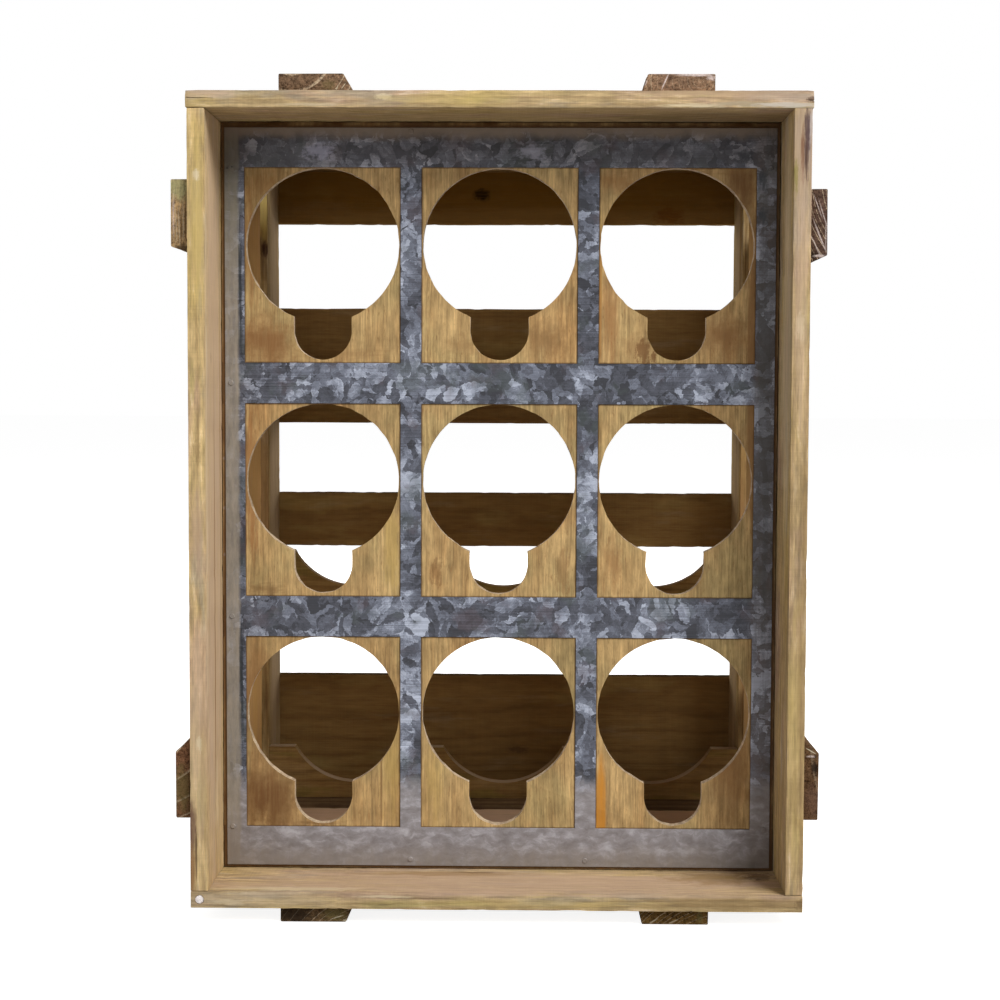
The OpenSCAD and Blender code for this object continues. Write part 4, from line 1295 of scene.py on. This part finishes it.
def spangle(colours):
    """Galvanised sheet: leaf-shaped crystals that each turn another way, hairlines, a dull film that is
    partly painted reflection, and painted shade.
    """
    finish, recipe, shader = new_finish("galvanised_spangle")
    dark, mid, blue, pale, haze_and_reflection = tones(colours, "zinc_dark", "zinc_mid", "zinc_blue", "zinc_pale", "haze_and_reflection")
    place = recipe.place()
    parts = recipe.parts(place)
    flat = recipe.vector("MULTIPLY", place, (1, 0.2, 1))
    soft = recipe.centred(recipe.cloud(flat, 70.0, 5.0, 0.65))

    def wavy(part, amount):
        """A place along one axis, with a soft waver, for edges that aren't straight."""
        return recipe.sum("MULTIPLY_ADD", soft, amount, parts[part])

    # Crystals within crystals, then feathers and grit on them
    rough_warp = recipe.push(recipe.cloud(flat, 90, 3.0, 0.6, colours=True), 0.009)
    fine_warp = recipe.push(recipe.cloud(flat, 520, 3.0, 0.7, colours=True), 0.0021)
    warped = recipe.vector("ADD", recipe.vector("ADD", flat, rough_warp), fine_warp)
    large = recipe.cells(warped, 75.0)
    turned = recipe.turned(warped, recipe.split(large, 1))
    leaf = recipe.cells(recipe.stretch(turned, (1.0, 1.0, 0.42)), 235.0)
    chip = recipe.cells(recipe.turned(warped, recipe.split(leaf, 1)), 330.0)
    large_tone, leaf_tone, chip_tone = (recipe.split(crystals, 0) for crystals in (large, leaf, chip))
    feather = recipe.field(recipe.turned(flat, recipe.split(leaf, 2)), (1500, 1, 230), 3.0, 0.65)
    value = recipe.sum("MULTIPLY_ADD", leaf_tone, 0.46, recipe.sum("MULTIPLY", large_tone, 0.26))
    value = recipe.sum("MULTIPLY_ADD", chip_tone, 0.16, value)
    drift = recipe.cloud(flat, 26.0, 3.0, 0.6)
    value = recipe.sum("ADD", value, recipe.band(drift, 0.34, 0.66, -0.17, 0.12))
    value = recipe.sum("MULTIPLY_ADD", recipe.centred(feather), 0.34, value)
    grit = recipe.cloud(flat, 1500.0, 3.0, 0.7)
    value = recipe.sum("MULTIPLY_ADD", recipe.centred(grit), 0.25, value)
    tone = recipe.ramp(value, ((0.1, dark), (0.36, mid), (0.54, blue), (0.76, pale)))
    hues = recipe.cloud(flat, 60.0, 3.0, 0.55, colours=True)
    tone = recipe.tint(tone, (0.086, 0.064, 0.074), recipe.split(hues, 0), 0.55, 0.68, 0.42)
    tone = recipe.tint(tone, (0.06, 0.073, 0.07), recipe.split(hues, 1), 0.54, 0.68, 0.45)
    hair = recipe.centred(recipe.field(flat, (16, 1, 1150), 2.0, 0.55))
    hair_where = recipe.band(recipe.cloud(flat, 34.0, 3.0, 0.5), 0.42, 0.62, 0.45, 1.3)
    hairline = recipe.sum("MULTIPLY", hair, hair_where)
    tone = recipe.lighten(tone, recipe.sum("MULTIPLY_ADD", hairline, 1.25, 1.0))
    # Dust near the floor and a dull film along the left and bottom edges. Along the left edge the film is
    # partly white rust and partly painted reflection of the lit left wall, and darker towards the top as
    # painted shade
    low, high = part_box("galvanised_grid")
    smear = recipe.field(warped, (90, 1, 190), 4.0, 0.62)
    dusty = recipe.ramp(smear, ((0.32, (0.192, 0.17, 0.168)), (0.5, (0.272, 0.252, 0.26)),
                                (0.68, (0.44, 0.425, 0.455))))
    dust = recipe.band(wavy("Z", 0.022), 0.074, 0.06, 0.0, 0.92)
    tone = recipe.mix(dust, tone, dusty)
    left_rust_and_reflection = recipe.band(wavy("X", 0.003), low.x + 0.0088, low.x + 0.0066)
    edge_low = recipe.band(wavy("Z", 0.014), low.z + 0.015, low.z + 0.002, 0.0, 0.8)
    uneven = recipe.band(recipe.field(flat, (420, 1, 60), 5.0, 0.65), 0.25, 0.7, 0.62, 0.97)
    film_and_reflection = recipe.sum("MULTIPLY", recipe.sum("MAXIMUM", left_rust_and_reflection, edge_low), uneven)
    haze_tone_with_reflection = recipe.vary(haze_and_reflection, recipe.field(flat, (190, 1, 45), 5.0, 0.7), 0.3, 0.7, 0.78, 1.18)
    haze_tone_with_reflection = recipe.tint(haze_tone_with_reflection, (0.2, 0.19, 0.138), parts["Z"], 0.33, 0.415, 0.65)
    haze_tone_with_reflection = recipe.tint(haze_tone_with_reflection, (0.24, 0.207, 0.186), parts["Z"], 0.06, 0.03, 0.75)
    tone = recipe.mix(film_and_reflection, tone, haze_tone_with_reflection)
    # Painted shade and painted reflection of the right wall along the sheet's right edge
    tone = recipe.tint(tone, (0.08, 0.055, 0.034), wavy("X", 0.003), high.x - 0.015, high.x - 0.008, 0.42)
    # Painted shade under the top board
    shaded = recipe.mix(1.0, tone, (0.56, 0.5, 0.45), "MULTIPLY")
    tone = recipe.mix(recipe.band(wavy("Z", 0.02), 0.4, 0.418), tone, shaded)
    # A warm dark band along the very top: painted shade right under the top board
    tone = recipe.tint(tone, (0.158, 0.116, 0.084), wavy("Z", 0.008), high.z - 0.0085, high.z - 0.001, 0.9)
    tone = recipe.marked(tone, place, sheet_marks(), soft=0.7)
    rough = recipe.sum("MULTIPLY_ADD", leaf_tone, 0.12, recipe.band(large_tone, 0.0, 1.0, 0.36, 0.46))
    dull = recipe.sum("MAXIMUM", film_and_reflection, recipe.sum("MULTIPLY", dust, 0.7))
    height = recipe.sum("MULTIPLY_ADD", leaf_tone, 0.5, recipe.sum("MULTIPLY", large_tone, 0.7))
    recipe.surface(shader, {"Base Color": tone, "Roughness": recipe.sum("MULTIPLY_ADD", dull, 0.12, rough),
                            "Metallic": recipe.band(dull, 0.0, 1.0, 0.55, 0.25)},
                   recipe.sum("MULTIPLY_ADD", feather, 0.3, height), 0.00005)
    return finish


class CRATE_OT_galvanised_grid(bpy.types.Operator):
    """Cut the galvanised sheet with its windows."""

    bl_idname = "crate.galvanised_grid"
    bl_label = "Galvanised grid"

    def execute(self, context):
        sizes, colours = chosen(context.scene)
        low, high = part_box("galvanised_grid")
        piece = block("galvanised_grid_sheet", low, high)
        front, back = low.y - OVERCUT, high.y + OVERCUT
        side, up, down = window_reach(sizes)
        cut_away(piece, [block("window", (x - side, front, z - down), (x + side, back, z + up))
                         for z in row_places(sizes) for x in column_places(sizes)])
        round_edges(piece, 0.00018, segments=1, angle=40)
        dress(smooth(piece, 20), spangle(colours))
        stand_for(piece, "galvanised_steel", "galvanised_grid")
        return {"FINISHED"}


def nail_finish(name, colours, bare, worn, metal=0.85):
    """Steel with patches of rust."""
    finish, recipe, shader = new_finish(name)
    place = recipe.place()
    patch = recipe.cloud(place, 420.0, 4.0, 0.65)
    grit = recipe.cloud(place, 2400.0, 2.0, 0.6)
    rusty = recipe.band(patch, worn - 0.08, worn + 0.1)
    tone = recipe.mix(rusty, bare, tuple(colours.rust))
    tone = recipe.vary(tone, grit, 0.3, 0.7, 0.75, 1.2)
    recipe.surface(shader, {"Base Color": tone, "Metallic": recipe.band(rusty, 0.2, 0.8, metal, 0.1),
                            "Roughness": recipe.band(rusty, 0.0, 1.0, 0.38, 0.85)}, grit, 0.00015)
    return finish


def one_nail(radius, reach, thick, shank):
    """A nail with a slightly domed head, its top at the origin and its point straight down."""
    point = 0.08 * reach
    clear_selection()
    bpy.ops.mesh.primitive_cylinder_add(vertices=20, radius=radius, depth=thick, location=(0, 0, -thick / 2))
    nail = settle(named(bpy.context.active_object, "nail"))
    pick(nail, "FACE", lambda face: face.normal.z > 0.9)
    bpy.ops.mesh.inset(thickness=0.16 * radius, depth=0)
    finish_edit(nail)
    pick(nail, "VERT", lambda v: abs(v.co.z) < TOUCH and v.co.xy.length > 0.92 * radius)
    bpy.ops.transform.translate(value=(0, 0, -0.28 * thick))
    finish_edit(nail)
    pick(nail, "FACE", lambda face: face.normal.z < -0.9)
    bpy.ops.mesh.inset(thickness=radius - shank, depth=0)
    for down in (reach - point - thick, point):
        bpy.ops.mesh.extrude_region_move(TRANSFORM_OT_translate={"value": (0, 0, -down)})
    bpy.ops.transform.resize(value=(0.08, 0.08, 1), center_override=(0, 0, 0))
    return smooth(finish_edit(nail))


def drive(model, nail):
    """A copy of a nail with its own mesh, turned to where it is driven."""
    copy = model.copy()
    copy.data = model.data.copy()
    bpy.context.scene.collection.objects.link(copy)
    outwards = Vector([nail.facing * float(i == nail.axis) for i in range(3)])
    turn = outwards.to_track_quat("Z", "Y").to_matrix().to_4x4()
    spin = Matrix.Rotation(random.uniform(0, 2 * math.pi), 4, "Z")
    copy.matrix_world = Matrix.Translation(nail.top) @ turn @ spin
    return settle(copy)


def drive_all(places, thick, shank, name):
    """One piece with all the nails of a group, which are copies of one model."""
    model = one_nail(places[0].radius, places[0].reach, thick, shank)
    nails = [drive(model, nail) for nail in places]
    discard(model)
    return join(nails, name)


class CRATE_OT_nails(bpy.types.Operator):
    """Drive the nails, each group in its own piece."""

    bl_idname = "crate.nails"
    bl_label = "Nails"

    def execute(self, context):
        colours = context.scene.crate_colours
        plain = nail_finish("nail_steel_rusty", colours, tuple(colours.steel), 0.5)
        bright = nail_finish("nail_steel_bright", colours, (0.78, 0.72, 0.7), 0.62, 0.25)
        for node, places in NAILS.items():
            piece = drive_all(places, HEAD_THICK, SHANK_RADIUS, node + "_steel")
            dress(piece, bright if node == "front_edge_nail" else plain)
            stand_for(piece, "nail_steel", node)
        return {"FINISHED"}


class CRATE_OT_grid_pins(bpy.types.Operator):
    """Press in the small pins that hold the grid."""

    bl_idname = "crate.grid_pins"
    bl_label = "Grid pins"

    def execute(self, context):
        piece = drive_all(nail_places("grid_pins"), PIN_HEAD_THICK, PIN_SHANK_RADIUS, "grid_pins_zinc")
        dress(piece, bpy.data.materials["galvanised_spangle"])
        stand_for(piece, "galvanised_steel", "grid_pins")
        return {"FINISHED"}


# The studio

CAMERA_PLACE = (0.017949, -1.163132, 0.287976)
CAMERA_TURN = (86.71955, -0.20861, 0.94653)
CAMERA_LENS = 68.4
AIM = (0, 0, 0.22)


def lamp(name, place, size, power, tone):
    clear_selection()
    bpy.ops.object.light_add(type="AREA", location=place)
    made = bpy.context.active_object
    made.name = name
    made.rotation_euler = (Vector(AIM) - Vector(place)).to_track_quat("-Z", "Y").to_euler()
    made.data.shape = "RECTANGLE"
    made.data.size, made.data.size_y = size
    made.data.energy = power
    made.data.color = tone


class CRATE_OT_studio(bpy.types.Operator):
    """Set up the floor, the light and the camera."""

    bl_idname = "crate.studio"
    bl_label = "Studio"

    def execute(self, context):
        scene = context.scene
        settings = scene.crate_studio
        self.floor(settings.floor_lift)
        self.room(scene, settings.sky)
        lamp("key_lamp", (1.54, -1.81, 2.3), (1.5, 1.5), settings.key_power, (1.0, 0.99, 0.965))
        lamp("fill_lamp", (-1.7, -2.2, 0.9), (1.5, 1.5), settings.fill_power, (0.97, 0.98, 1.0))
        lamp("back_lamp", (0, 2.1, 0.62), (3.8, 1.2), settings.back_power, (1.0, 1.0, 1.0))
        bpy.ops.object.camera_add(location=CAMERA_PLACE, rotation=[math.radians(a) for a in CAMERA_TURN])
        camera = context.active_object
        camera.name = "photo_camera"
        camera.data.lens = CAMERA_LENS
        camera.data.sensor_width = 36.0
        camera.data.clip_start = 0.01
        scene.camera = camera
        scene.view_settings.view_transform = "Standard"
        return {"FINISHED"}

    def floor(self, lift):
        clear_selection()
        bpy.ops.mesh.primitive_plane_add(size=40.0, location=(0, 0, 0))
        floor = settle(named(bpy.context.active_object, "studio_floor"))
        finish, recipe, shader = new_finish("floor_white")
        shader.inputs["Base Color"].default_value = (0.6, 0.6, 0.6, 1)
        shader.inputs["Roughness"].default_value = 0.9
        shader.inputs["Specular IOR Level"].default_value = 0.0
        shader.inputs["Emission Color"].default_value = (1, 1, 1, 1)
        recipe.feed(shader.inputs["Emission Strength"], recipe.sum("MULTIPLY", seen_rays(recipe), lift))
        dress(floor, finish)

    def room(self, scene, sky):
        world = bpy.data.worlds.new("studio_room")
        scene.world = world
        world.use_nodes = True
        tree = world.node_tree
        tree.nodes.clear()
        recipe = Recipe(tree)
        plain = recipe.add("ShaderNodeBackground", {"Color": (1.0, 1.0, 1.0, 1), "Strength": sky})
        white = recipe.add("ShaderNodeBackground", {"Color": (1, 1, 1, 1), "Strength": 1.0})
        both = recipe.add("ShaderNodeMixShader", {0: seen_rays(recipe), 1: plain.outputs[0],
                                                  2: white.outputs[0]})
        recipe.add("ShaderNodeOutputWorld", {"Surface": both.outputs[0]})


OPERATORS = (
    CRATE_OT_front_boards, CRATE_OT_rear_boards, CRATE_OT_battens, CRATE_OT_back_slats, CRATE_OT_cleats,
    CRATE_OT_cradles, CRATE_OT_bottle_panel, CRATE_OT_galvanised_grid, CRATE_OT_nails, CRATE_OT_grid_pins,
    CRATE_OT_studio,
)


class CRATE_PT_parts(bpy.types.Panel):
    """Lists the operators that build the crate."""

    bl_idname = "CRATE_PT_parts"
    bl_label = "Wine crate"
    bl_space_type = "VIEW_3D"
    bl_region_type = "UI"
    bl_category = "Crate"

    def draw(self, context):
        for operator in OPERATORS:
            self.layout.operator(operator.bl_idname)


CLASSES = (CrateSizes, CrateColours, StudioSettings, *OPERATORS, CRATE_PT_parts)
SETTINGS = {"crate_sizes": CrateSizes, "crate_colours": CrateColours, "crate_studio": StudioSettings}


def register():
    for item in CLASSES:
        bpy.utils.register_class(item)
    for name, group in SETTINGS.items():
        setattr(bpy.types.Scene, name, PointerProperty(type=group))


def unregister():
    for name in SETTINGS:
        delattr(bpy.types.Scene, name)
    for item in reversed(CLASSES):
        bpy.utils.unregister_class(item)


def main():
    random.seed(9)
    register()
    find_nails()
    for operator in OPERATORS:
        area, name = operator.bl_idname.split(".")
        getattr(getattr(bpy.ops, area), name)()


if __name__ == "__main__":
    main()
